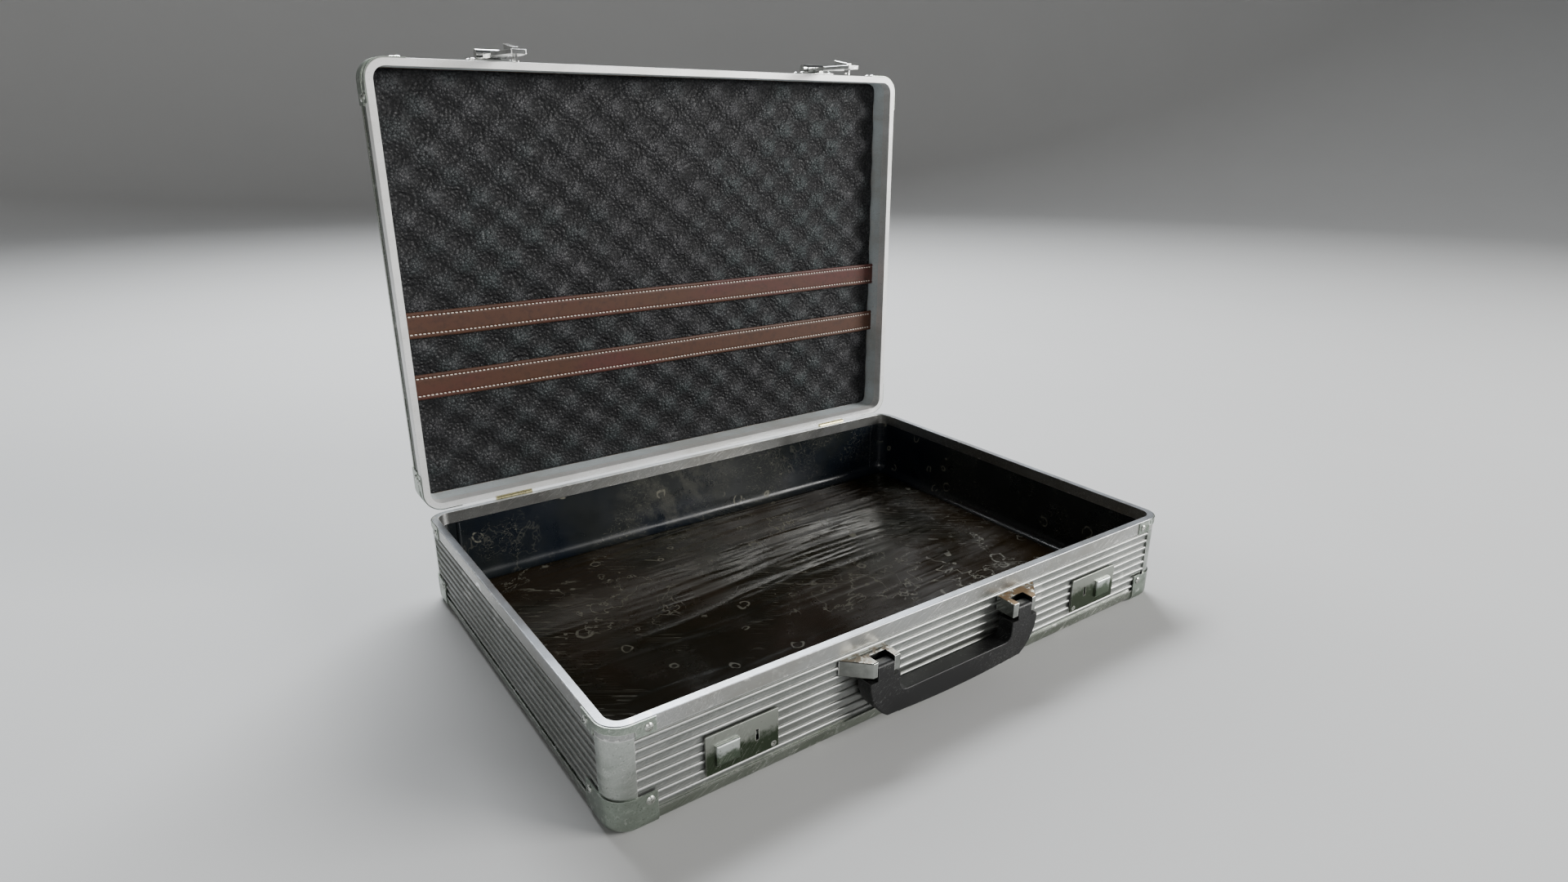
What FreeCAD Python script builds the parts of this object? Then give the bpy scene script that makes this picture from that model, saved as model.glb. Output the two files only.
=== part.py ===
import FreeCAD, Part

import math
import os

# Aluminium attache case, opened to ninety degrees, in millimetres.
# +X is to the right as one faces the handle, +Y goes to the hinge side, +Z is up.
# The origin is the centre of the underside that the case lies on.
# Base and lid are two trays of the same build. Each is made lying on its back with its rim up.
# An inset is the distance inwards from the outer face of the tray's walls.

# ---- driving dimensions -------------------------------------------------------------------
CASE_WIDTH = 457.0
CASE_DEPTH = 320.0
BASE_HEIGHT = 66.7
LID_HEIGHT = 28.2
CORNER_RADIUS = 14.0
RIM_GAP = 0.2

# wall layers, as insets
SHEET_OUT = 1.2
SHEET_IN = 2.2
BOARD_IN = 4.2
LINING_IN = 5.0

# edges of a tray, as heights above its underside
CAP_THICKNESS = 0.9
EDGE_FLOOR = 2.1
EDGE_TOP = 10.3
EDGE_ROUND = 5.0
EDGE_FLANGE = 14.0
LIP_HEIGHT = 1.0
LIP_PROUD = 0.4
SHEET_FOOT = 6.0
RIM_BAND = 9.0
RIM_TOP = 1.5
BOARD_FOOT = 3.4
FLOOR_BOARD = (3.3, 5.7)
LINING_FLOOR = 6.5
LINING_FILLET = 8.0

# ribs pressed into the walls
RIB_PITCH = 5.85
RIB_FIRST = EDGE_TOP + 3.0
RIB_WIDTH = 2.8
RIB_RISE = 1.0
POST_EDGE = 15.0

# corner fittings
CAP_REACH_X = 26.0
CAP_REACH_Y = 30.0
BASE_CAP_TOP = 21.7
LID_CAP_TOP = 18.5
CLIP_REACH_X = 27.5
CLIP_REACH_Y = 28.5
CLIP_THICKNESS = 0.7
CLIP_BAND = (5.0, 0.5)
CLIP_TAB_DROP = 9.5
CLIP_TAB_FROM = 15.5
SCREW_RADIUS = 2.6

# hinges
HINGE_Y = CASE_DEPTH / 2 + 1.2
HINGE_Z = BASE_HEIGHT
HINGE_X = 160.5
HINGE_WIDTH = 29.0
KNUCKLE_RADIUS = 1.9
HINGE_PIN_RADIUS = 0.9
RUNNING_GAP = 0.05
KNUCKLES = 5
LEAF_REACH = 10.5
LEAF_THICKNESS = 1.0

# handle and its brackets
BRACKET_Z = (43.7, 54.0)
BRACKET_WALL_X = (48.8, 84.0)
BRACKET_PROUD = 14.4
BRACKET_SLOT_X = (53.5, 66.5)
BRACKET_SLOT_Y = -165.8
HANDLE_PIVOT = (-169.5, 48.0)
HANDLE_FACE_Y = -175.0
HANDLE_BACK_Y = -163.0
HANDLE_TONGUE_X = (54.0, 66.0)
HANDLE_ARM_X = (48.5, 72.0)
HANDLE_SHOULDER = 41.2
HANDLE_PIN_RADIUS = 1.5

# locks
LOCK_X = (127.0, 174.0)
LOCK_Z = (16.0, 41.0)
LOCK_PLATE = 1.2
LOCK_CASE_X = (130.0, 172.0)
LOCK_CASE_Z = (17.0, 38.0)
LOCK_CASE_WALL = 0.6
BUTTON_X = (153.2, 168.2)
BUTTON_Z = (21.0, 33.8)
BUTTON_OVERLAP = 0.5
BUTTON_GAP = 0.15
BUTTON_PROUD = 2.0
BUTTON_TRAVEL = 3.0
CATCH_X = 141.2
CATCH_Z = (25.6, 32.7)
CATCH_WIDTH = 2.0
BOLT_Z = (28.2, 30.2)
BOLT_REACH = (0.4, 1.4)
SPRING_ARM_X = (150.0, 153.0)
SPRING_LUG_X = (169.4, 171.4)
LOCK_SCREW_X = LOCK_X[0] + 3.4

# hasps, on the lid's front wall, which is on top while the lid stands open
HASP_X = CATCH_X
HASP_PIVOT_Y = 173.0
HASP_PIVOT_RISE = 4.9
HASP_BARREL_RADIUS = 3.4
HASP_BARREL_WIDTH = 13.0
HASP_EAR = 4.0
HASP_BASE_HALF = 18.3
HASP_PIN_RADIUS = 1.2
HASP_BASE_THICKNESS = 1.2
HASP_PLATE_Y = (114.8, 145.0)
HASP_PLATE_RISE = (2.2, 5.0)
HASP_HALF_TIP = 5.5
HASP_HALF_ROOT = 9.2

# lid lining
LID_BOARD = (3.3, 4.3)
FOAM_INSET = 5.4
FOAM_FACE = 19.5
STRAP_WIDTH = 19.4
STRAP_THICKNESS = 1.7
STRAP_GAP = 0.3
STRAP_GRIP = 0.4
STRAPS = {"strap_lower": 82.7, "strap_upper": 129.5}

HALF_X = CASE_WIDTH / 2
HALF_Y = CASE_DEPTH / 2
FRONT = -HALF_Y
LID_RIM_Y = HINGE_Y + RIM_GAP
LID_FOOT_Z = HINGE_Z + HINGE_Y - HALF_Y
LID_TOP_Z = LID_FOOT_Z + CASE_DEPTH

X_AXIS = FreeCAD.Vector(1, 0, 0)
Y_AXIS = FreeCAD.Vector(0, 1, 0)
Z_AXIS = FreeCAD.Vector(0, 0, 1)
CENTRE = FreeCAD.Vector(0, 0, 0)


# ---- basic shapes -------------------------------------------------------------------------
def vec(x, y, z):
    return FreeCAD.Vector(x, y, z)


def block(x_span, y_span, z_span):
    """Box between two values on each axis."""
    low = [min(span) for span in (x_span, y_span, z_span)]
    size = [abs(span[1] - span[0]) for span in (x_span, y_span, z_span)]
    return Part.makeBox(*size, vec(*low))


def rod(radius, start, end):
    """Cylinder from one point to another."""
    run = end - start
    return Part.makeCylinder(radius, run.Length, start, run)


def face_of(points):
    """Flat face with a straight-sided outline."""
    return Part.Face(Part.makePolygon(list(points) + [points[0]]))


def moved(shape, offset):
    copy = shape.copy()
    copy.translate(offset)
    return copy


def turned(shape, axis, degrees, centre=CENTRE):
    copy = shape.copy()
    copy.rotate(centre, axis, degrees)
    return copy


def mirrored(shape):
    """The same shape on the other side of the case's middle plane."""
    return shape.mirror(CENTRE, X_AXIS)


def joined(shapes):
    first, rest = shapes[0], shapes[1:]
    if not rest:
        return first
    return first.multiFuse(rest).removeSplitter()


def group(shapes):
    """Several separate solids in one sub-part."""
    solids = []
    for shape in shapes:
        solids.extend(shape.Solids)
    return Part.Compound(solids)


def softened(shape, radius, wanted):
    """Rounds the edges that the test function picks."""
    edges = [edge for edge in shape.Edges if wanted(edge)]
    return shape.makeFillet(radius, edges)


def plan_block(inset, z_span, floor_round=0.0):
    """Block with the tray's rounded plan, its lower edge rounded if asked."""
    shape = block((inset - HALF_X, HALF_X - inset), (inset - HALF_Y, HALF_Y - inset), z_span)
    corner = CORNER_RADIUS - inset
    shape = softened(shape, corner, lambda edge: edge.BoundBox.ZLength > 0.1)
    if floor_round:
        low = min(z_span)
        shape = softened(shape, floor_round, lambda edge: edge.BoundBox.ZMax < low + 0.01)
    return shape


def ring(outer, inner, z_span):
    """Plain upright ring between two insets."""
    return plan_block(outer, z_span).cut(plan_block(inner, z_span))


def corner_blocks(reach_x, reach_y, z_span, proud=2.0):
    """Four blocks over the tray's corners."""
    blocks = []
    for side_x in (-1, 1):
        for side_y in (-1, 1):
            x_span = (side_x * (HALF_X - reach_x), side_x * (HALF_X + proud))
            y_span = (side_y * (HALF_Y - reach_y), side_y * (HALF_Y + proud))
            blocks.append(block(x_span, y_span, z_span))
    return Part.Compound(blocks)


# ---- parts of a tray ----------------------------------------------------------------------
WALLS = {"front": (0, CASE_WIDTH, HALF_Y), "right": (90, CASE_DEPTH, HALF_X),
         "back": (180, CASE_WIDTH, HALF_Y), "left": (270, CASE_DEPTH, HALF_X)}


def rib_heights(height):
    """Middle heights of the wall's ribs."""
    count = int((height - RIM_BAND - 1.5 - RIB_FIRST) / RIB_PITCH) + 1
    return [RIB_FIRST + RIB_PITCH * index for index in range(count)]


def wall_sheet(side, height):
    """Ribbed aluminium sheet of one wall, between the corner posts."""
    angle, run, half_span = WALLS[side]
    length = run - 2 * CORNER_RADIUS
    rib_length = run - 2 * POST_EDGE
    outer = SHEET_OUT - half_span
    sheet = block((-length / 2, length / 2), (outer, SHEET_IN - half_span), (SHEET_FOOT, height - RIM_TOP))
    shapes = [sheet]
    for middle in rib_heights(height):
        low = vec(-rib_length / 2, outer, middle - RIB_WIDTH / 2)
        crest = vec(-rib_length / 2, -half_span, middle)
        high = vec(-rib_length / 2, outer, middle + RIB_WIDTH / 2)
        outline = Part.Wire([Part.Arc(low, crest, high).toShape(), Part.makeLine(high, low)])
        shapes.append(Part.Face(outline).extrude(vec(rib_length, 0, 0)))
    return turned(joined(shapes), Z_AXIS, angle)


def wall_board(side, height):
    """Hardboard behind one wall sheet."""
    angle, run, half_span = WALLS[side]
    length = run - 2 * CORNER_RADIUS
    board = block((-length / 2, length / 2), (SHEET_IN - half_span, BOARD_IN - half_span),
                  (BOARD_FOOT, height - RIM_TOP))
    return turned(board, Z_AXIS, angle)


def field_outline(half_length, half_run, low, high, ribbed):
    """Section of the pressed field, from one edge to the other, with or without ribs."""
    start, end = vec(-half_length, -half_run, low), vec(-half_length, half_run, low)
    edges = []
    here = start
    count = int(2 * half_run / RIB_PITCH) if ribbed else 0
    for index in range(count):
        middle = (index - (count - 1) / 2) * RIB_PITCH
        left = vec(-half_length, middle - RIB_WIDTH / 2, low)
        crest = vec(-half_length, middle, 0.0)
        right = vec(-half_length, middle + RIB_WIDTH / 2, low)
        edges.extend([Part.makeLine(here, left), Part.Arc(left, crest, right).toShape()])
        here = right
    edges.append(Part.makeLine(here, end))
    upper_end, upper_start = vec(end.x, end.y, high), vec(start.x, start.y, high)
    edges.extend([Part.makeLine(end, upper_end), Part.makeLine(upper_end, upper_start),
                  Part.makeLine(upper_start, start)])
    return Part.Face(Part.Wire(edges))


def bottom_sheet(ribbed):
    """Flat side of a tray: a sheet whose field is pressed out level with the corner caps."""
    thickness = 1.2
    low = RIB_RISE if ribbed else 0.0
    inset = EDGE_FLANGE + 1.0
    sheet = plan_block(EDGE_ROUND, (EDGE_FLOOR, EDGE_FLOOR + thickness))
    field = field_outline(HALF_X - inset, HALF_Y - inset, low, EDGE_FLOOR + 0.1, ribbed)
    field = field.extrude(vec(2 * (HALF_X - inset), 0, 0))
    inner = inset + thickness
    pocket = block((inner - HALF_X, HALF_X - inner), (inner - HALF_Y, HALF_Y - inner),
                   (low + thickness, EDGE_FLOOR + thickness))
    return sheet.fuse(field).cut(pocket)


def corner_posts(height):
    """Four smooth extrusions that join the walls at the corners."""
    skin = ring(0.0, SHEET_OUT, (EDGE_TOP, height - RIM_BAND))
    skin = skin.common(corner_blocks(POST_EDGE, POST_EDGE, (0.0, height)))
    core = ring(SHEET_OUT, BOARD_IN, (SHEET_FOOT, height - RIM_TOP))
    core = core.common(corner_blocks(CORNER_RADIUS, CORNER_RADIUS, (0.0, height)))
    return group([skin.fuse(core).removeSplitter()])


def rim_frame(height):
    """Channel that closes the wall's top edge, with a deep outer band and an inner leg."""
    foot = height - RIM_BAND
    body = plan_block(0.0, (foot, height))
    body = softened(body, 0.6, lambda edge: edge.BoundBox.ZMin > height - 0.01)
    body = body.cut(plan_block(LINING_IN, (foot, height)))
    channel = ring(SHEET_OUT, BOARD_IN, (foot, height - RIM_TOP))
    return body.cut(channel)


def edge_trim():
    """Rounded edge strip round the tray's flat side, with a lip along its top."""
    outer = plan_block(0.0, (CAP_THICKNESS, EDGE_TOP), EDGE_ROUND)
    lip = plan_block(-LIP_PROUD, (EDGE_TOP - LIP_HEIGHT, EDGE_TOP))
    inner = plan_block(SHEET_OUT, (EDGE_FLOOR, EDGE_TOP + 1), EDGE_ROUND - SHEET_OUT)
    window = block((EDGE_FLANGE - HALF_X, HALF_X - EDGE_FLANGE), (EDGE_FLANGE - HALF_Y, HALF_Y - EDGE_FLANGE),
                   (0, EDGE_TOP))
    return outer.fuse(lip).cut(inner).cut(window).removeSplitter()


def corner_caps(top):
    """Four pressed caps over the outer corners, standing proud of the edge strip."""
    outer = plan_block(-CAP_THICKNESS, (0.0, top), EDGE_ROUND + CAP_THICKNESS)
    inner = plan_block(0.0, (CAP_THICKNESS, top + 1), EDGE_ROUND)
    lip = plan_block(-LIP_PROUD, (EDGE_TOP - LIP_HEIGHT, EDGE_TOP))
    window = block((EDGE_FLANGE - HALF_X, HALF_X - EDGE_FLANGE), (EDGE_FLANGE - HALF_Y, HALF_Y - EDGE_FLANGE),
                   (-1, top))
    shell = outer.cut(inner).cut(lip).cut(window)
    return group([shell.common(corner_blocks(CAP_REACH_X, CAP_REACH_Y, (-1, top + 1)))])


def rim_clips(height):
    """Four strips round the corners under the rim, with a deeper tab at each end."""
    low, high = height - CLIP_TAB_DROP, height - CLIP_BAND[1]
    shell = ring(-CLIP_THICKNESS, 0.0, (low, high))
    shell = shell.common(corner_blocks(CLIP_REACH_X, CLIP_REACH_Y, (0, height)))
    relief = corner_blocks(CLIP_TAB_FROM, CLIP_TAB_FROM, (0, height - CLIP_BAND[0]))
    return group([shell.cut(relief)])


def screw(reach=2.4):
    """Cross-head screw with a domed head, driven along +Y, its head's seat at the origin."""
    rise = 1.1
    seat = vec(SCREW_RADIUS, 0, 0)
    brim = vec(SCREW_RADIUS, -0.3, 0)
    crown = vec(0, -rise, 0)
    bulge = vec(SCREW_RADIUS * 0.62, -rise * 0.82, 0)
    outline = Part.Wire([Part.makeLine(CENTRE, seat), Part.makeLine(seat, brim),
                         Part.Arc(brim, bulge, crown).toShape(), Part.makeLine(crown, CENTRE)])
    head = Part.Face(outline).revolve(CENTRE, Y_AXIS, 360)
    shank = rod(1.1, CENTRE, vec(0, reach, 0))
    half_slot, slot_reach = 0.3, SCREW_RADIUS * 0.6
    slot = block((-slot_reach, slot_reach), (-rise - 1, -rise + 0.7), (-half_slot, half_slot))
    cross = slot.fuse(turned(slot, Y_AXIS, 90))
    return head.fuse(shank).cut(cross).removeSplitter()


def corner_screws(cap_top, height):
    """Screws at both ends of every corner cap and rim clip."""
    seats = [(CAP_REACH_X - 4.5, CAP_REACH_Y - 5.0, cap_top - 4.2, CAP_THICKNESS),
             (CLIP_REACH_X - 4.5, CLIP_REACH_Y - 5.0, height - CLIP_TAB_DROP / 2 - 0.6, CLIP_THICKNESS)]
    screws = []
    for reach_x, reach_y, level, proud in seats:
        for side in (-1, 1):
            across = side * (HALF_X - reach_x)
            along = side * (HALF_Y - reach_y)
            front = moved(screw(), vec(across, -HALF_Y - proud, level))
            right = moved(turned(screw(), Z_AXIS, 90), vec(HALF_X + proud, along, level))
            screws.extend([front, turned(front, Z_AXIS, 180)])
            screws.extend([right, turned(right, Z_AXIS, 180)])
    return group(screws)


def make_tray(prefix, height, cap_top):
    """All the pieces of one tray, lying on its back, keyed by name."""
    tray = {}
    for side in WALLS:
        tray[prefix + "_" + side + "_panel"] = wall_sheet(side, height)
    tray[prefix + "_corner_posts"] = corner_posts(height)
    tray[prefix + "_rim_frame"] = rim_frame(height)
    tray[prefix + "_edge_trim"] = edge_trim()
    tray[prefix + "_corner_caps"] = corner_caps(cap_top)
    tray[prefix + "_rim_clips"] = rim_clips(height)
    tray[prefix + "_wall_boards"] = group([wall_board(side, height) for side in WALLS])
    screws = corner_screws(cap_top, height)
    for name in tray:
        tray[name] = tray[name].cut(screws)
    tray[prefix + "_corner_screws"] = screws
    return tray


# ---- hinges -------------------------------------------------------------------------------
def hinge_centres():
    return [-HINGE_X, HINGE_X]


def hinge_relief():
    """Notches in both rims that the knuckles sit in."""
    half = HINGE_WIDTH / 2 + 0.3
    return group([rod(KNUCKLE_RADIUS + 0.3, vec(x - half, HINGE_Y, HINGE_Z), vec(x + half, HINGE_Y, HINGE_Z))
                  for x in hinge_centres()])


def hinge_knuckles(first, bore):
    """Every other knuckle of both hinges, counted from the first."""
    pitch = HINGE_WIDTH / KNUCKLES
    knuckles = []
    for x in hinge_centres():
        for index in range(first, KNUCKLES, 2):
            low = x - HINGE_WIDTH / 2 + index * pitch + 0.1
            high = low + pitch - 0.2
            start, end = vec(low, HINGE_Y, HINGE_Z), vec(high, HINGE_Y, HINGE_Z)
            knuckles.append(rod(KNUCKLE_RADIUS, start, end).cut(rod(bore, start, end)))
    return knuckles


def hinge_leaves(first, bore, side):
    """Hinge leaves with their knuckles; side is -1 for the base's and 1 for the lid's when closed."""
    leaves = []
    inner = HALF_Y
    pitch = HINGE_WIDTH / KNUCKLES
    knuckles = hinge_knuckles(first, bore)
    per_hinge = len(knuckles) // 2
    for number, x in enumerate(hinge_centres()):
        span = (x - HINGE_WIDTH / 2, x + HINGE_WIDTH / 2)
        clear = side * (KNUCKLE_RADIUS + 0.4)
        far = side * (LEAF_REACH + 0.6)
        plate = block(span, (inner, inner + LEAF_THICKNESS), (HINGE_Z + clear, HINGE_Z + far))
        parts = [plate]
        for index, knuckle in enumerate(knuckles[number * per_hinge:(number + 1) * per_hinge]):
            low = x - HINGE_WIDTH / 2 + (first + 2 * index) * pitch + 0.1
            neck = block((low, low + pitch - 0.2), (inner, inner + LEAF_THICKNESS), (HINGE_Z, HINGE_Z + clear))
            axle = rod(bore, vec(low - 1, HINGE_Y, HINGE_Z), vec(low + pitch, HINGE_Y, HINGE_Z))
            parts.extend([knuckle, neck.cut(axle)])
        leaves.append(joined(parts))
    return group(leaves)


def hinge_pins():
    half = HINGE_WIDTH / 2
    return group([rod(HINGE_PIN_RADIUS, vec(x - half, HINGE_Y, HINGE_Z), vec(x + half, HINGE_Y, HINGE_Z))
                  for x in hinge_centres()])


def hinge_rivets(side):
    """Two rivets through each leaf into the rim band."""
    level = HINGE_Z + side * (LEAF_REACH - 3.2)
    rivets = []
    for x in hinge_centres():
        for offset in (-9.0, 9.0):
            outer = HALF_Y + LEAF_THICKNESS
            shank = rod(1.0, vec(x + offset, outer, level), vec(x + offset, HALF_Y - 2.0, level))
            head = Part.makeSphere(2.2, vec(x + offset, outer - 1.4, level))
            head = head.common(block((x + offset - 3, x + offset + 3), (outer, outer + 2), (level - 3, level + 3)))
            rivets.append(shank.fuse(head).removeSplitter())
    return group(rivets)


# ---- handle -------------------------------------------------------------------------------
def handle_bracket():
    """Right-hand bracket: a chrome block on the wall, slotted to hold the handle's tongue."""
    near, far = BRACKET_WALL_X
    low, high = BRACKET_Z
    tip = FRONT - BRACKET_PROUD
    outline = [vec(near, FRONT, low), vec(far, FRONT, low), vec(far - BRACKET_PROUD, tip, low), vec(near, tip, low)]
    body = face_of(outline).extrude(vec(0, 0, high - low))
    body = softened(body, 0.7, lambda edge: edge.BoundBox.YMin < FRONT - 0.5)
    slot = block(BRACKET_SLOT_X, (BRACKET_SLOT_Y, tip - 1), (low - 1, high + 1))
    return body.cut(slot).cut(handle_pin())


def handle_pin():
    y, z = HANDLE_PIVOT
    return rod(HANDLE_PIN_RADIUS, vec(50.2, y, z), vec(69.0, y, z))


def bracket_screws():
    """Two screws through the wall into each bracket, their heads sunk in the board."""
    screws = []
    for x in (57.0, 72.0):
        z = (BRACKET_Z[0] + BRACKET_Z[1]) / 2
        board_face = FRONT + BOARD_IN
        shank = rod(1.4, vec(x, board_face, z), vec(x, FRONT - 4.0, z))
        head = rod(2.8, vec(x, board_face, z), vec(x, board_face - 1.2, z))
        screws.extend([shank.fuse(head).removeSplitter()])
    return group(screws + [mirrored(item) for item in screws])


def handle_grip():
    """Moulded grip hanging from both brackets: two tongues, two shoulders and a bowed bar."""
    outer, bottom_corner = HANDLE_ARM_X[1], 57.6
    shoulder, corner_z, bottom = HANDLE_SHOULDER, 14.6, 12.4
    window_half, window_foot = 48.5, 28.0

    def point(x, z):
        return vec(x, HANDLE_FACE_Y, z)

    edges = [
        Part.makeLine(point(-outer, shoulder), point(outer, shoulder)),
        Part.Arc(point(outer, shoulder), point(outer - 3.6, 26.0), point(bottom_corner, corner_z)).toShape(),
        Part.Arc(point(bottom_corner, corner_z), point(0, bottom), point(-bottom_corner, corner_z)).toShape(),
        Part.Arc(point(-bottom_corner, corner_z), point(3.6 - outer, 26.0), point(-outer, shoulder)).toShape()]
    depth = HANDLE_BACK_Y - HANDLE_FACE_Y
    body = Part.Face(Part.Wire(edges)).extrude(vec(0, depth, 0))
    window = block((-window_half, window_half), (HANDLE_FACE_Y - 1, HANDLE_BACK_Y + 1), (window_foot, 60))
    window = softened(window, 6.0, lambda edge: edge.BoundBox.YLength > 1 and edge.BoundBox.ZMax < 50)
    body = body.cut(window)
    body = softened(body, 0.8, lambda edge: edge.BoundBox.YLength < 0.1 and edge.BoundBox.ZMin < shoulder - 0.5)
    pivot_y, pivot_z = HANDLE_PIVOT
    tongue = block(HANDLE_TONGUE_X, (HANDLE_FACE_Y + 0.2, pivot_y + 3.0), (shoulder - 6, pivot_z + 3.0))
    tongue = softened(tongue, 2.2, lambda edge: edge.BoundBox.ZMin > pivot_z + 2.9 and edge.BoundBox.XLength > 1)
    bore = rod(HANDLE_PIN_RADIUS + RUNNING_GAP, vec(40, pivot_y, pivot_z), vec(80, pivot_y, pivot_z))
    grip = body.fuse([tongue, mirrored(tongue)]).removeSplitter()
    return grip.cut(bore).cut(mirrored(bore))


# ---- locks --------------------------------------------------------------------------------
def lock_plate():
    """Face plate of the right lock, with the button's opening, the catch slot and a screw hole."""
    plate = block(LOCK_X, (FRONT - LOCK_PLATE, FRONT), LOCK_Z)
    plate = softened(plate, 0.8, lambda edge: edge.BoundBox.YLength > 0.5)
    plate = softened(plate, 0.3, lambda edge: edge.BoundBox.YMax < FRONT - LOCK_PLATE + 0.01)
    opening = block((BUTTON_X[0] + BUTTON_OVERLAP, BUTTON_X[1] - BUTTON_OVERLAP), (FRONT - 5, FRONT + 1),
                    (BUTTON_Z[0] + BUTTON_OVERLAP, BUTTON_Z[1] - BUTTON_OVERLAP))
    catch_slot = block((CATCH_X - CATCH_WIDTH / 2, CATCH_X + CATCH_WIDTH / 2), (FRONT - 5, FRONT + 1), CATCH_Z)
    return plate.cut(opening).cut(catch_slot)


def lock_window():
    return block(LOCK_CASE_X, (FRONT - 0.01, FRONT + BOARD_IN), LOCK_CASE_Z)


def lock_case():
    """Shallow steel tray behind the plate, with the lug that the spring pushes against."""
    wall = LOCK_CASE_WALL
    back = FRONT + BOARD_IN
    tray = block(LOCK_CASE_X, (FRONT, back), LOCK_CASE_Z)
    hollow = block((LOCK_CASE_X[0] + wall, LOCK_CASE_X[1] - wall), (FRONT - 1, back - wall),
                   (LOCK_CASE_Z[0] + wall, LOCK_CASE_Z[1] - wall))
    lug = block(SPRING_LUG_X, (FRONT + 0.2, back - wall), (34.6, LOCK_CASE_Z[1] - wall))
    return tray.cut(hollow).fuse(lug).removeSplitter()


def lock_button():
    """Sliding button: a head over the plate, its neck, the carriage, the spring's arm and the bolt for the hook."""
    face, plate_face = FRONT - LOCK_PLATE - BUTTON_PROUD, FRONT - LOCK_PLATE
    head = block(BUTTON_X, (face, plate_face - BUTTON_GAP), BUTTON_Z)
    head = softened(head, 1.2, lambda edge: edge.BoundBox.YMax < face + 0.01)
    inset = BUTTON_OVERLAP + 0.3
    neck = block((BUTTON_X[0] + inset, BUTTON_X[1] - inset - BUTTON_TRAVEL), (plate_face - 0.3, FRONT + 0.4),
                 (BUTTON_Z[0] + inset, BUTTON_Z[1] - inset))
    carriage = block((SPRING_ARM_X[0], BUTTON_X[1] - 1.2), (FRONT + 0.2, FRONT + 1.8), (18.4, 33.4))
    arm = block(SPRING_ARM_X, (FRONT + 0.2, FRONT + 3.2), (30.0, 37.0))
    tip = CATCH_X - CATCH_WIDTH / 2 - 0.6
    bolt = block((tip, SPRING_ARM_X[0] + 0.5), (FRONT + BOLT_REACH[0], FRONT + BOLT_REACH[1]), BOLT_Z)
    return head.fuse([neck, carriage, arm, bolt]).removeSplitter()


def lock_spring():
    """Compression spring between the button's arm and the case's lug."""
    start, end, radius, wire = SPRING_ARM_X[1], SPRING_LUG_X[0], 1.05, 0.22
    turns = 9
    helix = Part.makeHelix((end - start - 2 * wire) / turns, end - start - 2 * wire, radius)
    section = Part.Wire(Part.makeCircle(wire, vec(radius, 0, 0), Y_AXIS))
    coil = Part.Wire(helix).makePipeShell([section], True, True)
    coil = turned(coil, Y_AXIS, 90)
    return moved(coil, vec(start + wire, FRONT + 1.8, 35.9))


def lock_screw_body():
    """Countersunk screw at the plate's lower inner corner, before its socket is cut."""
    x, z = LOCK_SCREW_X, LOCK_Z[0] + 2.7
    head = Part.makeCone(1.7, 1.0, LOCK_PLATE, vec(x, FRONT - LOCK_PLATE, z), Y_AXIS)
    shank = rod(0.9, vec(x, FRONT, z), vec(x, FRONT + 3.4, z))
    return head.fuse(shank).removeSplitter()


def lock_screw():
    x, z = LOCK_SCREW_X, LOCK_Z[0] + 2.7
    face = FRONT - LOCK_PLATE
    return lock_screw_body().cut(rod(0.7, vec(x, face - 1, z), vec(x, face + 0.6, z)))


# ---- hasps --------------------------------------------------------------------------------
def hasp_pivot():
    return vec(HASP_X, HASP_PIVOT_Y, LID_TOP_Z + HASP_PIVOT_RISE)


def hasp_pin():
    half = HASP_BARREL_WIDTH / 2 + HASP_EAR + 0.2
    pivot = hasp_pivot()
    return rod(HASP_PIN_RADIUS, pivot - vec(half, 0, 0), pivot + vec(half, 0, 0))


def hasp_base():
    """Plate riveted to the lid's front wall, with two round ears that hold the hasp's pin."""
    plate = block((HASP_X - HASP_BASE_HALF, HASP_X + HASP_BASE_HALF), (163.0, 178.9),
                  (LID_TOP_Z, LID_TOP_Z + HASP_BASE_THICKNESS))
    plate = softened(plate, 2.0, lambda edge: edge.BoundBox.ZLength > 1)
    shapes = [plate]
    pivot = hasp_pivot()
    ear_inner = HASP_BARREL_WIDTH / 2 + 0.2
    for side in (-1, 1):
        span = (HASP_X + side * ear_inner, HASP_X + side * (ear_inner + HASP_EAR))
        web = block(span, (pivot.y - 2.6, pivot.y + 2.6), (LID_TOP_Z + HASP_BASE_THICKNESS, pivot.z))
        eye = rod(HASP_BARREL_RADIUS, vec(span[0], pivot.y, pivot.z), vec(span[1], pivot.y, pivot.z))
        shapes.extend([web, eye])
    return joined(shapes).cut(hasp_pin())


def hasp_rivets():
    """Four domed rivets, two at either end of the base plate."""
    rivets = []
    for x in (HASP_X - 14.8, HASP_X + 14.8):
        for y in (166.3, 175.6):
            top = LID_TOP_Z + HASP_BASE_THICKNESS
            shank = rod(1.1, vec(x, y, LID_TOP_Z - 2.0), vec(x, y, top))
            head = Part.makeSphere(2.4, vec(x, y, top - 1.4))
            head = head.common(block((x - 3, x + 3), (y - 3, y + 3), (top, top + 2)))
            rivets.append(shank.fuse(head).removeSplitter())
    return group(rivets)


def hasp_plate(under, top):
    """Tapered plate that bridges the seam, with round corners at its tip."""
    tip_y, root_y = HASP_PLATE_Y
    tip, root = HASP_HALF_TIP, HASP_HALF_ROOT
    outline = [vec(HASP_X - tip, tip_y, under), vec(HASP_X + tip, tip_y, under),
               vec(HASP_X + root, root_y, under), vec(HASP_X - root, root_y, under)]
    plate = face_of(outline).extrude(vec(0, 0, top - under))
    plate = softened(plate, 1.0, lambda edge: edge.BoundBox.ZLength > 1)
    return softened(plate, 0.4, lambda edge: edge.BoundBox.ZMin > top - 0.01)


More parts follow.
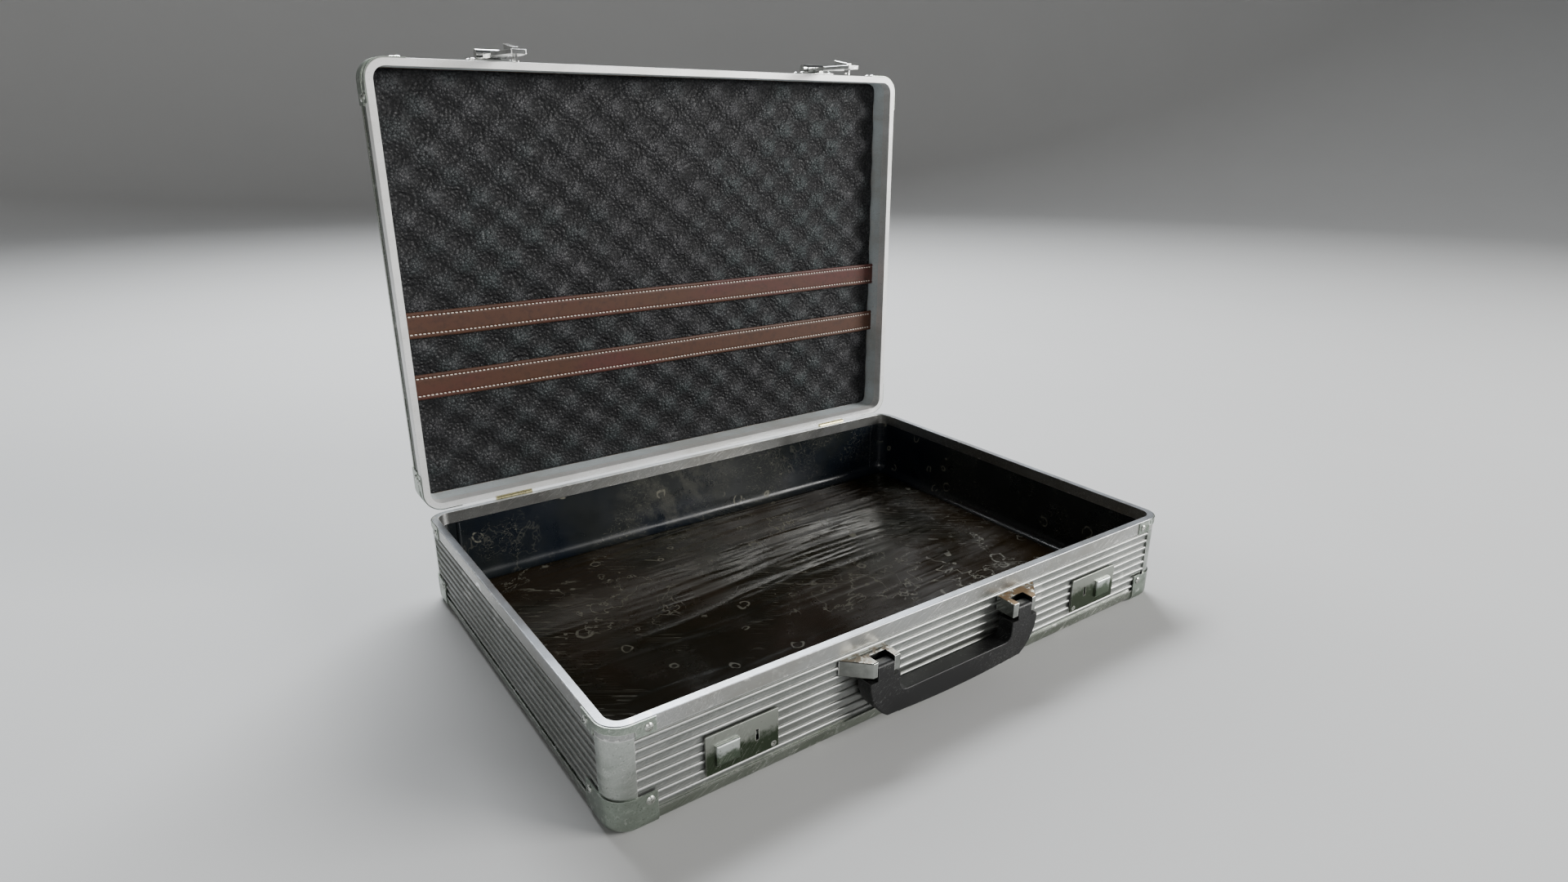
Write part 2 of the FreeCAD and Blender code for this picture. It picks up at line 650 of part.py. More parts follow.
def hasp_hook(under):
    """Blade under the tip that enters the catch slot, with the eye that the bolt slides through."""
    seat = HINGE_Y - HINGE_Z
    half = 0.7
    blade = block((HASP_X - half, HASP_X + half), (CATCH_Z[0] + seat + 0.7, CATCH_Z[1] + seat - 0.7),
                  (LID_TOP_Z - 2.6, under + 0.1))
    play = 0.25
    eye = block((HASP_X - 2, HASP_X + 2), (BOLT_Z[0] + seat - play, BOLT_Z[1] + seat + play),
                (LID_TOP_Z - BOLT_REACH[1] - play, LID_TOP_Z - BOLT_REACH[0] + play))
    return blade.cut(eye)


def hasp():
    """Swinging plate with its barrel, thumb fin and the hook on its underside."""
    pivot = hasp_pivot()
    half_barrel = HASP_BARREL_WIDTH / 2
    under, top = LID_TOP_Z + HASP_PLATE_RISE[0], LID_TOP_Z + HASP_PLATE_RISE[1]
    barrel = rod(HASP_BARREL_RADIUS, pivot - vec(half_barrel, 0, 0), pivot + vec(half_barrel, 0, 0))
    cheek = block((HASP_X - half_barrel, HASP_X + half_barrel), (pivot.y - 4.6, pivot.y), (under, top + 0.8))
    neck = block((HASP_X - 4.2, HASP_X + 4.2), (HASP_PLATE_Y[1] - 1.0, pivot.y - 4.0), (under, top))
    fin_back, fin_front = 137.8, 121.1
    fin_side = face_of([vec(HASP_X - 2.2, fin_front, top - 0.1), vec(HASP_X - 2.2, fin_back, top - 0.1),
                        vec(HASP_X - 2.2, fin_back, top + 4.8), vec(HASP_X - 2.2, fin_front, top + 1.8)])
    fin = softened(fin_side.extrude(vec(4.4, 0, 0)), 0.5, lambda edge: edge.BoundBox.ZMin > top + 1.0)
    body = joined([barrel, cheek, neck, hasp_plate(under, top), fin, hasp_hook(under)])
    bore = rod(HASP_PIN_RADIUS + RUNNING_GAP, pivot - vec(20, 0, 0), pivot + vec(20, 0, 0))
    return body.cut(bore)


# ---- linings ------------------------------------------------------------------------------
def base_liner():
    """Vinyl lining of the base, from under the rim's inner leg down, rounded at the foot."""
    top = BASE_HEIGHT - RIM_BAND
    outer = plan_block(BOARD_IN, (FLOOR_BOARD[1], top))
    inner = plan_block(LINING_IN, (LINING_FLOOR, top + 1), LINING_FILLET)
    return outer.cut(inner)


def lid_wall_band():
    """Bare metal band inside the lid, from the backing board to the rim's leg."""
    return ring(BOARD_IN, LINING_IN, (LID_BOARD[1], LID_HEIGHT - RIM_BAND))


def lid_foam():
    """Convoluted foam pad against the lid's backing board."""
    return plan_block(FOAM_INSET, (LID_BOARD[1], LID_HEIGHT - FOAM_FACE))


def strap(foot):
    """Leather strap across the lid, held at both ends in the wall band."""
    back = LID_HEIGHT - FOAM_FACE + STRAP_GAP
    half = HALF_X - LINING_IN + STRAP_GRIP
    low = foot - HALF_Y
    return block((-half, half), (low, low + STRAP_WIDTH), (back, back + STRAP_THICKNESS))


def stand_lid(shape):
    """Takes a lid piece from lying on its back to standing open on the hinges."""
    upright = turned(shape, X_AXIS, 90)
    return moved(upright, vec(0, LID_RIM_Y + LID_HEIGHT, LID_FOOT_Z + HALF_Y))


def swing_open(shape):
    """Takes a piece from where it is with the lid closed to where it is with the lid open."""
    return turned(shape, X_AXIS, -90, vec(0, HINGE_Y, HINGE_Z))


# ---- assembly -----------------------------------------------------------------------------
def base_pieces():
    base = make_tray("base", BASE_HEIGHT, BASE_CAP_TOP)
    windows = group([lock_window(), mirrored(lock_window())])
    fasteners = group([bracket_screws(), hinge_rivets(-1), lock_screw_body(), mirrored(lock_screw_body())])
    for name in ("base_front_panel", "base_wall_boards"):
        base[name] = base[name].cut(windows)
    for name in ("base_front_panel", "base_wall_boards", "base_back_panel", "base_rim_frame"):
        base[name] = base[name].cut(fasteners)
    base["base_rim_frame"] = base["base_rim_frame"].cut(hinge_relief())
    base["base_bottom_panel"] = bottom_sheet(ribbed=False)
    base["base_floor_board"] = plan_block(BOARD_IN, FLOOR_BOARD)
    base["base_liner"] = base_liner()
    base["hinge_base_leaves"] = hinge_leaves(0, HINGE_PIN_RADIUS, -1).cut(hinge_rivets(-1))
    base["hinge_pins"] = hinge_pins()
    base["hinge_base_rivets"] = hinge_rivets(-1)
    bracket = handle_bracket().cut(bracket_screws())
    base["handle_bracket_right"] = bracket
    base["handle_bracket_left"] = mirrored(bracket)
    base["handle_pins"] = group([handle_pin(), mirrored(handle_pin())])
    base["bracket_screws"] = bracket_screws()
    base["handle_grip"] = handle_grip()
    plate = lock_plate().cut(lock_screw_body())
    base["lock_screws"] = group([lock_screw(), mirrored(lock_screw())])
    lock_parts = {"lock_plate": plate, "lock_case": lock_case().cut(lock_screw_body()), "lock_button": lock_button(),
                  "lock_spring": lock_spring()}
    for name, shape in lock_parts.items():
        base[name + "_right"] = shape
        base[name + "_left"] = mirrored(shape)
    return base


def lid_pieces():
    tray = make_tray("lid", LID_HEIGHT, LID_CAP_TOP)
    tray["lid_top_panel"] = bottom_sheet(ribbed=True)
    tray["lid_backing_board"] = plan_block(BOARD_IN, LID_BOARD)
    tray["lid_wall_band"] = lid_wall_band()
    tray["lid_foam"] = lid_foam()
    for name, foot in STRAPS.items():
        tray[name] = strap(foot)
    # lying on its back, the lid's hinge side is the front
    tray["lid_front_panel"], tray["lid_back_panel"] = tray["lid_back_panel"], tray["lid_front_panel"]
    lid = {name: stand_lid(shape) for name, shape in tray.items()}
    rivets = group([swing_open(hinge_rivets(1)), hasp_rivets(), mirrored(hasp_rivets())])
    for name in ("lid_front_panel", "lid_back_panel", "lid_wall_boards", "lid_rim_frame"):
        lid[name] = lid[name].cut(rivets)
    lid["lid_rim_frame"] = lid["lid_rim_frame"].cut(swing_open(hinge_relief()))
    leaves = hinge_leaves(1, HINGE_PIN_RADIUS + RUNNING_GAP, 1).cut(hinge_rivets(1))
    lid["hinge_lid_leaves"] = swing_open(leaves)
    lid["hinge_lid_rivets"] = swing_open(hinge_rivets(1))
    lid["hasp_rivets"] = group([hasp_rivets(), mirrored(hasp_rivets())])
    hasp_parts = {"hasp_base": hasp_base().cut(hasp_rivets()), "hasp_pin": hasp_pin(), "hasp": hasp()}
    for name, shape in hasp_parts.items():
        lid[name + "_right"] = shape
        lid[name + "_left"] = mirrored(shape)
    return lid


def main():
    os.makedirs("parts", exist_ok=True)
    pieces = base_pieces()
    pieces.update(lid_pieces())
    for name, shape in pieces.items():
        shape.exportStep("parts/" + name + ".step")
        box = shape.BoundBox
        print("%-22s %2d solids %10.1f mm3 valid %s  X %.1f..%.1f Y %.1f..%.1f Z %.1f..%.1f" % (
            name, len(shape.Solids), shape.Volume, shape.isValid(),
            box.XMin, box.XMax, box.YMin, box.YMax, box.ZMin, box.ZMax))


main()
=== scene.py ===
import math
import random

import bpy
import bmesh
from mathutils import Matrix, Vector, noise


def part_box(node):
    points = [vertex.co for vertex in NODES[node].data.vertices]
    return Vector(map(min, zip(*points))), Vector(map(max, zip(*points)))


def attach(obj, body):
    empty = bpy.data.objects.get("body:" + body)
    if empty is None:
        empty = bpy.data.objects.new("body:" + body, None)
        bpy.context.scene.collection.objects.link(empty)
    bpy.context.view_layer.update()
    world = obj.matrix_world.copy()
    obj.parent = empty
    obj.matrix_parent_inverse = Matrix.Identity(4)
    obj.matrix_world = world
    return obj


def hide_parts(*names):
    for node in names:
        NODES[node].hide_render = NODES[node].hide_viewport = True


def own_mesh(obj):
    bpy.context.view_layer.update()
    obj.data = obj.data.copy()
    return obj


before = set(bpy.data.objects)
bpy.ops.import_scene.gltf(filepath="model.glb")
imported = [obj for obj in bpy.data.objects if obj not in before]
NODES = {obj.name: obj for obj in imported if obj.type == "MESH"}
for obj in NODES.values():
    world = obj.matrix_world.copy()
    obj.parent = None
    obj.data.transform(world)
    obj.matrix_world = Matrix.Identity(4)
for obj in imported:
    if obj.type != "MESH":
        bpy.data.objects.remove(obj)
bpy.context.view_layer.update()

MM = 0.001

CORNER_RADIUS = 14 * MM
COVE = 8.0 * MM
SEAM_X = 208.0 * MM
STITCH_INSET = 3.0 * MM
HEM_WIDTH = 2.0 * MM
STRAP_EDGE = 0.7 * MM
GRID_STEP = 1.7 * MM

# how many times per metre the fine grain of the metal changes along X, Y and Z
EVEN_GRAIN = (900, 900, 900)
SHEET_GRAIN = (500, 500, 2200)
RIM_GRAIN = (160, 1500, 1500)
TRIM_GRAIN = (200, 1200, 1200)

# ---- places read from the frame ------------------------------------------------------------
BASE_LOW, BASE_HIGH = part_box("base_rim_frame")
HALF_X = BASE_HIGH.x
HALF_Y = BASE_HIGH.y
LEG_FOOT_Z = BASE_LOW.z
LINER_LOW, LINER_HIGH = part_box("base_liner")
FOAM_LOW, FOAM_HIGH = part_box("lid_foam")
PLATE_LOW, PLATE_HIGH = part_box("lock_plate_right")
LINING_INSET = HALF_X - LINER_HIGH.x + 0.8 * MM
LINING_FLOOR = LINER_LOW.z + 0.8 * MM


# ---- procedural materials ------------------------------------------------------------------
class Paint:
    """Builds one procedural material out of nodes, in the object's own coordinates.
    Numbers given as scale are per metre; low and high are where a pattern starts and is full."""

    def __init__(self, name):
        self.material = bpy.data.materials.new(name)
        self.material.use_nodes = True
        self.tree = self.material.node_tree
        self.shader = self.tree.nodes["Principled BSDF"]
        self.coords = self.add("ShaderNodeTexCoord")
        self.place = self.coords.outputs["Object"]

    def add(self, kind, **settings):
        node = self.tree.nodes.new(kind)
        for key, value in settings.items():
            setattr(node, key, value)
        return node

    def feed(self, socket, value):
        if isinstance(value, bpy.types.NodeSocket):
            self.tree.links.new(value, socket)
        elif isinstance(value, (tuple, list)) and socket.type == "RGBA":
            socket.default_value = (*value[:3], 1.0)
        else:
            socket.default_value = value

    def math(self, operation, first, second=0.0, third=0.0):
        node = self.add("ShaderNodeMath", operation=operation)
        for socket, value in zip(node.inputs, (first, second, third)):
            self.feed(socket, value)
        return node.outputs[0]

    def times(self, first, second):
        return self.math("MULTIPLY", first, second)

    def plus(self, first, second):
        return self.math("ADD", first, second)

    def either(self, first, second):
        return self.math("MAXIMUM", first, second)

    def ramp(self, value, low, high, out_low=0.0, out_high=1.0):
        """Smooth step of a value from low to high."""
        node = self.add("ShaderNodeMapRange", interpolation_type="SMOOTHSTEP")
        for key, given in (("Value", value), ("From Min", low), ("From Max", high),
                           ("To Min", out_low), ("To Max", out_high)):
            self.feed(node.inputs[key], given)
        return node.outputs["Result"]

    def mix(self, factor, first, second):
        """Colour between two colours."""
        node = self.add("ShaderNodeMix", data_type="RGBA")
        self.feed(node.inputs["Factor"], factor)
        self.feed(node.inputs[6], first)
        self.feed(node.inputs[7], second)
        return node.outputs[2]

    def lerp(self, factor, first, second):
        """Number between two numbers."""
        node = self.add("ShaderNodeMix", data_type="FLOAT")
        self.feed(node.inputs["Factor"], factor)
        self.feed(node.inputs[2], first)
        self.feed(node.inputs[3], second)
        return node.outputs[0]

    def stretched(self, scale, turn=(0.0, 0.0, 0.0), shift=(0.0, 0.0, 0.0)):
        """Coordinates turned and scaled, for patterns that run in one direction."""
        turned = self.add("ShaderNodeMapping")
        self.feed(turned.inputs["Vector"], self.place)
        turned.inputs["Rotation"].default_value = turn
        turned.inputs["Location"].default_value = shift
        node = self.add("ShaderNodeMapping")
        self.feed(node.inputs["Vector"], turned.outputs[0])
        node.inputs["Scale"].default_value = scale
        return node.outputs[0]

    def cloud(self, scale, detail=3.0, rough=0.55, vector=None, distortion=0.0):
        """Soft noise from about 0.2 to 0.8."""
        node = self.add("ShaderNodeTexNoise")
        self.feed(node.inputs["Vector"], vector or self.place)
        node.inputs["Scale"].default_value = scale
        node.inputs["Detail"].default_value = detail
        node.inputs["Roughness"].default_value = rough
        node.inputs["Distortion"].default_value = distortion
        return node.outputs["Fac"]

    def cells(self, scale, feature="F1", vector=None):
        node = self.add("ShaderNodeTexVoronoi", feature=feature)
        self.feed(node.inputs["Vector"], vector or self.place)
        node.inputs["Scale"].default_value = scale
        return node

    def part(self, vector, axis):
        """One of a vector's three numbers."""
        node = self.add("ShaderNodeSeparateXYZ")
        self.feed(node.inputs[0], vector)
        return node.outputs[axis]

    def edges(self, radius, low=0.06, high=0.35):
        """1 along outer edges and corners, 0 on the flats."""
        bevel = self.add("ShaderNodeBevel", samples=6)
        bevel.inputs["Radius"].default_value = radius
        plain = self.add("ShaderNodeNewGeometry").outputs["Normal"]
        dot = self.add("ShaderNodeVectorMath", operation="DOT_PRODUCT")
        self.feed(dot.inputs[0], bevel.outputs[0])
        self.feed(dot.inputs[1], plain)
        return self.ramp(self.math("SUBTRACT", 1.0, dot.outputs["Value"]), low, high)

    def scratches(self, scale, turn, amount=0.5, width=0.012):
        """Sparse thin lines that run along one direction."""
        lines = self.cloud(1.0, 1.0, 0.4, self.stretched((scale * 0.03, scale, scale), turn))
        near = self.math("ABSOLUTE", self.math("SUBTRACT", lines, 0.5))
        thin = self.ramp(near, width, 0.0)
        where = self.cloud(14.0, 3.0, 0.6, self.stretched((1, 1, 1), shift=turn))
        return self.times(thin, self.ramp(where, 1.0 - amount, 1.05 - amount))

    def wobbled(self, amount, scale=90.0):
        """Coordinates pushed about by noise, for outlines that are not quite round."""
        swirl = self.add("ShaderNodeTexNoise")
        self.feed(swirl.inputs["Vector"], self.place)
        swirl.inputs["Scale"].default_value = scale
        node = self.add("ShaderNodeVectorMath", operation="MULTIPLY_ADD")
        self.feed(node.inputs[0], swirl.outputs["Color"])
        node.inputs[1].default_value = (amount, amount, amount)
        self.feed(node.inputs[2], self.place)
        return node.outputs[0]

    def rings(self, scale, share=0.3, radius=0.26, width=0.06):
        """Scuffs left by round things: broken circles of several sizes."""
        node = self.cells(scale, vector=self.wobbled(6 * MM))
        chance = self.part(node.outputs["Color"], 0)
        size = self.lerp(self.part(node.outputs["Color"], 1), radius * 0.35, radius)
        off = self.math("ABSOLUTE", self.math("SUBTRACT", node.outputs["Distance"], size))
        line = self.ramp(off, width, width * 0.35)
        chosen = self.math("LESS_THAN", chance, share)
        broken = self.ramp(self.cloud(160.0, 2.0), 0.38, 0.52)
        return self.times(self.times(line, chosen), broken)

    def tide_lines(self, scale, width=0.004, amount=0.4):
        """Thin irregular outlines, as dried drops leave, in some places only."""
        field = self.cloud(scale, 4.0, 0.6, distortion=0.4)
        near = self.math("ABSOLUTE", self.math("SUBTRACT", field, 0.56))
        where = self.cloud(9.0, 2.0, 0.5, self.stretched((1, 1, 1), shift=(5.0, 2.0, 0.0)))
        return self.times(self.ramp(near, width, 0.0), self.ramp(where, 1.0 - amount, 1.08 - amount))

    def spot(self, centre, radius):
        """1 at a place on the object, fading to 0 at a distance."""
        node = self.add("ShaderNodeVectorMath", operation="DISTANCE")
        self.feed(node.inputs[0], self.place)
        node.inputs[1].default_value = centre
        return self.ramp(node.outputs["Value"], radius, 0.0)

    def bump(self, height, distance, strength=1.0, normal=None):
        node = self.add("ShaderNodeBump")
        node.inputs["Strength"].default_value = strength
        node.inputs["Distance"].default_value = distance
        self.feed(node.inputs["Height"], height)
        if normal is not None:
            self.feed(node.inputs["Normal"], normal)
        return node.outputs[0]

    def finish(self, color, roughness, normal=None, metallic=0.0, **fixed):
        self.feed(self.shader.inputs["Base Color"], color)
        self.feed(self.shader.inputs["Roughness"], roughness)
        self.feed(self.shader.inputs["Metallic"], metallic)
        if normal is not None:
            self.feed(self.shader.inputs["Normal"], normal)
        for key, value in fixed.items():
            self.shader.inputs[key.replace("_", " ")].default_value = value
        return self.material


def shade(color, share):
    return tuple(share * channel for channel in color)


def worn_metal(name, tone, grime_and_shade, rough, grain=EVEN_GRAIN, grime_amount=0.45, scuff=0.5,
               edge_tone=(0.80, 0.80, 0.77), edge_radius=0.9 * MM, ring_scale=22.0, ring_share=0.25,
               lift=0.25, nicks=0.3, rib_shade_and_light=0.0, mottle=0.12, metallic=1.0, sides=0.0):
    """Satin metal with dirt in patches, fine scratches, round scuffs, bright edges and nicks; the bright
    edges are rubbed in patches and partly a painted highlight.
    The rib setting is how strongly painted shade sits under every rib and a painted highlight on its top,
    sides how strongly painted shade darkens the faces that don't look up, lift how clearly the grain
    shows, and mottle how pale the blots are."""
    paint = Paint(name)
    patches = paint.cloud(9.0, 5.0, 0.6)
    smears = paint.cloud(1.0, 4.0, 0.6, paint.stretched((14.0, 14.0, 50.0), (0.0, 0.35, 0.0)))
    dirt = paint.times(paint.ramp(paint.plus(patches, smears), 0.85, 1.25), grime_amount)
    color = paint.mix(dirt, tone, grime_and_shade)
    fine = paint.cloud(1.0, 2.0, 0.6, paint.stretched(grain))
    color = paint.mix(paint.ramp(fine, 0.3, 0.7, 0.0, lift), color, shade(tone, 0.55))
    specks = paint.ramp(paint.cloud(750.0, 2.0, 0.7), 0.62, 0.72, 0.0, 0.5)
    color = paint.mix(specks, color, shade(grime_and_shade, 0.5))
    up = paint.part(paint.coords.outputs["Normal"], 2)
    # Painted shade: faces that don't look up are darkened towards the dirt colour by the sides amount.
    if sides:
        color = paint.mix(paint.ramp(up, 0.7, 0.3, 0.0, sides), color, grime_and_shade)
    # Painted shade under every rib, where faces look down, and a painted highlight on rib tops, where
    # faces look up.
    if rib_shade_and_light:
        color = paint.mix(paint.ramp(up, -0.40, -0.75, 0.0, rib_shade_and_light), color, shade(grime_and_shade, 0.15))
        color = paint.mix(paint.ramp(up, 0.35, 0.65, 0.0, 0.35 * rib_shade_and_light), color, edge_tone)

    lines = paint.scratches(500.0, (0.3, 0.5, 0.2), 0.52)
    lines = paint.either(lines, paint.scratches(700.0, (1.2, -0.3, 1.1), 0.5))
    marks = paint.times(paint.either(lines, paint.rings(ring_scale, ring_share)), scuff)
    blots = paint.ramp(paint.cloud(210.0, 5.0, 0.75), 0.54, 0.64)
    blots = paint.times(blots, paint.ramp(patches, 0.40, 0.60))
    marks = paint.either(marks, paint.times(blots, mottle))
    # Bright edges: rubbed bare in patches, and partly a painted highlight.
    rubbed = paint.ramp(paint.cloud(70.0, 4.0, 0.65), 0.30, 0.5)
    edge = paint.times(paint.edges(edge_radius, 0.03, 0.22), rubbed)
    chips = paint.ramp(paint.cloud(120.0, 3.0, 0.6), 0.60, 0.66)
    chipped = paint.times(paint.edges(3.0 * edge_radius, 0.01, 0.05), chips)
    bright = paint.either(paint.either(marks, edge), paint.times(chipped, nicks))
    color = paint.mix(bright, color, edge_tone)

    rough_patches = paint.lerp(paint.cloud(40.0, 4.0, 0.6), rough - 0.10, rough + 0.12)
    roughness = paint.lerp(bright, rough_patches, rough - 0.08)
    normal = paint.bump(fine, 0.02 * MM, 0.5)
    dents = paint.cloud(110.0, 2.0, 0.5)
    normal = paint.bump(dents, 0.10 * MM, 0.35, normal)
    return paint.finish(color, roughness, normal, metallic)


def chrome(name, rust_amount, tone):
    """Polished chrome with smudges and a painted highlight along its edges; rust creeps over the upward
    faces.
    """
    paint = Paint(name)
    smudge = paint.cloud(60.0, 4.0, 0.65)
    color = paint.mix(paint.ramp(smudge, 0.4, 0.7), tone, shade(tone, 0.62))
    up = paint.ramp(paint.part(paint.coords.outputs["Normal"], 2), 0.75, 0.95)
    onset = 0.52 - 0.16 * rust_amount
    spots = paint.ramp(paint.cloud(230.0, 5.0, 0.7), onset, onset + 0.14)
    rust = paint.times(paint.times(up, spots), 0.25 + 0.7 * rust_amount)
    rust_color = paint.mix(paint.cloud(500.0, 3.0), (0.17, 0.10, 0.045), (0.30, 0.20, 0.10))
    # Painted highlight along the edges.
    edge = paint.edges(0.7 * MM, 0.03, 0.2)
    color = paint.mix(edge, color, (0.95, 0.95, 0.92))
    color = paint.mix(rust, color, rust_color)
    roughness = paint.lerp(rust, paint.lerp(smudge, 0.05, 0.22), 0.75)
    metallic = paint.math("SUBTRACT", 1.0, paint.times(rust, 0.8))
    normal = paint.bump(spots, 0.05 * MM, 0.3)
    return paint.finish(color, roughness, normal, metallic)


def plate_with_painted_reflection(name, top_tone, low_tone, level, spread):
    """Lock plate and button steel with a painted reflection: brighter above, greenish and darker below a
    ragged line.
    """
    paint = Paint(name)
    height = paint.part(paint.place, 2)
    ragged = paint.cloud(180.0, 6.0, 0.75)
    drift = paint.cloud(35.0, 3.0, 0.6)
    shifted = paint.plus(height, paint.times(paint.math("SUBTRACT", ragged, 0.5), 16.0 * MM))
    shifted = paint.plus(shifted, paint.times(paint.math("SUBTRACT", drift, 0.5), 14.0 * MM))
    # Painted reflection: lighter above the ragged level, darker and greenish below it.
    color = paint.mix(paint.ramp(shifted, level - spread, level + spread), low_tone, top_tone)
    spots = paint.ramp(paint.cloud(420.0, 3.0, 0.6), 0.62, 0.72)
    color = paint.mix(paint.times(spots, 0.5), color, (0.20, 0.22, 0.18))
    marks = paint.times(paint.rings(90.0, 0.2, 0.30, 0.05), 0.5)
    lines = paint.times(paint.scratches(800.0, (0.2, 0.9, 0.1), 0.5), 0.4)
    # Painted highlight along every edge, together with real scuffs and scratches.
    edge = paint.edges(0.8 * MM, 0.02, 0.18)
    color = paint.mix(paint.either(paint.either(marks, lines), edge), color, (0.95, 0.94, 0.88))
    roughness = paint.lerp(ragged, 0.22, 0.48)
    normal = paint.bump(ragged, 0.03 * MM, 0.3)
    return paint.finish(color, roughness, normal, 1.0)


def moulded_plastic(name):
    """Black grip: fine moulded grain, handling scratches, and grey edges that are rubbed in patches and
    partly a painted highlight.
    """
    paint = Paint(name)
    grain = paint.cloud(1400.0, 2.0, 0.6)
    worn = paint.cloud(45.0, 5.0, 0.65)
    color = paint.mix(worn, (0.0045, 0.0045, 0.005), (0.009, 0.009, 0.009))
    lines = paint.scratches(600.0, (0.2, 0.7, 0.4), 0.55)
    lines = paint.either(lines, paint.scratches(450.0, (0.1, -0.5, 0.9), 0.5))
    # Grey edges: rubbed in patches and partly a painted highlight.
    edge = paint.times(paint.edges(1.0 * MM), paint.ramp(worn, 0.35, 0.6))
    color = paint.mix(paint.times(paint.either(lines, edge), 0.6), color, (0.16, 0.16, 0.155))
    roughness = paint.lerp(worn, 0.34, 0.52)
    normal = paint.bump(grain, 0.03 * MM, 0.35)
    return paint.finish(color, roughness, normal, Specular_IOR_Level=0.34)


def vinyl(name, dark, warm, gloss, ring_share, tide, dust_and_sheen_place, dust_and_sheen_reach):
    """Glossy creased lining with rings, tide lines, a smear that is partly dust and partly a painted
    sheen, and dull rubbed patches.
    """
    paint = Paint(name)
    patches = paint.cloud(7.0, 5.0, 0.6)
    color = paint.mix(paint.ramp(patches, 0.42, 0.58), dark, warm)
    grains = paint.ramp(paint.cloud(1500.0, 2.0, 0.5), 0.60, 0.72)
    # Smear near one place: dust grains, and partly a painted sheen that lifts the colour.
    smear = paint.cloud(1.0, 6.0, 0.75, paint.stretched((40.0, 60.0, 30.0), (0.0, 0.5, 0.4)))
    dust_and_sheen_patch = paint.times(paint.spot(dust_and_sheen_place, dust_and_sheen_reach), paint.ramp(smear, 0.42, 0.60))
    dust_and_sheen = paint.either(paint.times(dust_and_sheen_patch, 0.25), paint.times(dust_and_sheen_patch, grains))
    rings = paint.rings(24.0, ring_share, 0.20, 0.028)
    small = paint.rings(62.0, ring_share * 0.7, 0.30, 0.06)
    lines = paint.scratches(380.0, (0.0, 0.0, 0.6), 0.5)
    marks = paint.times(paint.either(paint.either(rings, small), lines), 0.8)
    marks = paint.either(marks, paint.times(paint.tide_lines(24.0, 0.010, 0.5), tide))
    stray = paint.times(grains, paint.ramp(paint.cloud(5.0, 3.0, 0.6), 0.50, 0.75, 0.0, 0.12))
    marks = paint.either(marks, paint.either(dust_and_sheen, stray))
    color = paint.mix(marks, color, (0.17, 0.165, 0.13))
    roughness = paint.lerp(paint.ramp(paint.cloud(16.0, 5.0, 0.65), 0.35, 0.7), gloss, gloss + 0.18)
    roughness = paint.lerp(marks, roughness, 0.6)
    folds = paint.cloud(1.0, 3.0, 0.5, paint.stretched((5.0, 95.0, 50.0), (0.0, 0.0, 0.06)))
    grain = paint.cells(1300.0).outputs["Distance"]
    normal = paint.bump(grain, 0.02 * MM, 0.4)
    normal = paint.bump(folds, 1.4 * MM, 0.45, normal)
    return paint.finish(color, roughness, normal, Specular_IOR_Level=0.42)


def pebbled_foam(name):
    """Black pebbled skin: rounded grains with painted shade in the crooked gaps between them and more
    painted shade in the pad's hollows.
    """
    paint = Paint(name)
    crooked = paint.wobbled(2.2 * MM, 260.0)
    grain_size = 440.0
    gaps = paint.cells(grain_size, "DISTANCE_TO_EDGE", crooked).outputs["Distance"]
    domes = paint.cells(grain_size, "SMOOTH_F1", crooked).outputs["Distance"]
    fine = paint.cloud(1300.0, 3.0, 0.6)
    tint = paint.cloud(14.0, 3.0, 0.5)
    color = paint.mix(paint.ramp(tint, 0.4, 0.6), (0.042, 0.042, 0.045), (0.038, 0.047, 0.048))
    # Painted shade in the gaps between grains.
    uneven = paint.ramp(paint.cloud(150.0, 3.0, 0.6), 0.30, 0.70, 0.08, 0.26)
    shaded_gaps = paint.ramp(gaps, uneven, 0.0)
    color = paint.mix(shaded_gaps, color, (0.004, 0.004, 0.005))
    # Painted shade in the pad's hollows, darker the deeper the surface lies.
    depth = paint.part(paint.place, 1)
    hollow_shade = paint.ramp(depth, FOAM_LOW.y + 0.6 * MM, FOAM_LOW.y + 3.2 * MM)
    color = paint.mix(hollow_shade, color, (0.007, 0.007, 0.008))
    roughness = paint.lerp(shaded_gaps, paint.lerp(fine, 0.40, 0.58), 0.9)
    normal = paint.bump(domes, -1.3 * MM, 1.0)
    normal = paint.bump(fine, 0.05 * MM, 0.4, normal)
    return paint.finish(color, roughness, normal, Specular_IOR_Level=0.35)


def strap_leather(name):
    """Smooth brown leather, redder in some stretches and olive in others, rubbed pale along its edges."""
    paint = Paint(name)
    drift = paint.cloud(1.0, 3.0, 0.5, paint.stretched((9.0, 20.0, 20.0)))
    color = paint.mix(paint.ramp(drift, 0.40, 0.60), (0.078, 0.035, 0.021), (0.084, 0.028, 0.023))
    blotch = paint.cloud(260.0, 4.0, 0.6)
    color = paint.mix(paint.ramp(blotch, 0.45, 0.75, 0.0, 0.6), color, (0.040, 0.022, 0.017))
    edge = paint.edges(0.9 * MM, 0.04, 0.4)
    color = paint.mix(paint.times(edge, 0.7), color, (0.22, 0.12, 0.07))
    pores = paint.cells(2300.0).outputs["Distance"]
    roughness = paint.lerp(blotch, 0.42, 0.60)
    normal = paint.bump(pores, 0.03 * MM, 0.5)
    return paint.finish(color, roughness, normal, Specular_IOR_Level=0.3)


def thread(name):
    """Pale twisted thread."""
    paint = Paint(name)
    twist = paint.cloud(1.0, 2.0, 0.5, paint.stretched((2600.0, 900.0, 900.0), (0.0, 0.6, 0.0)))
    color = paint.mix(twist, (0.80, 0.72, 0.62), (0.97, 0.91, 0.82))
    return paint.finish(color, 0.7, paint.bump(twist, 0.05 * MM, 0.6))


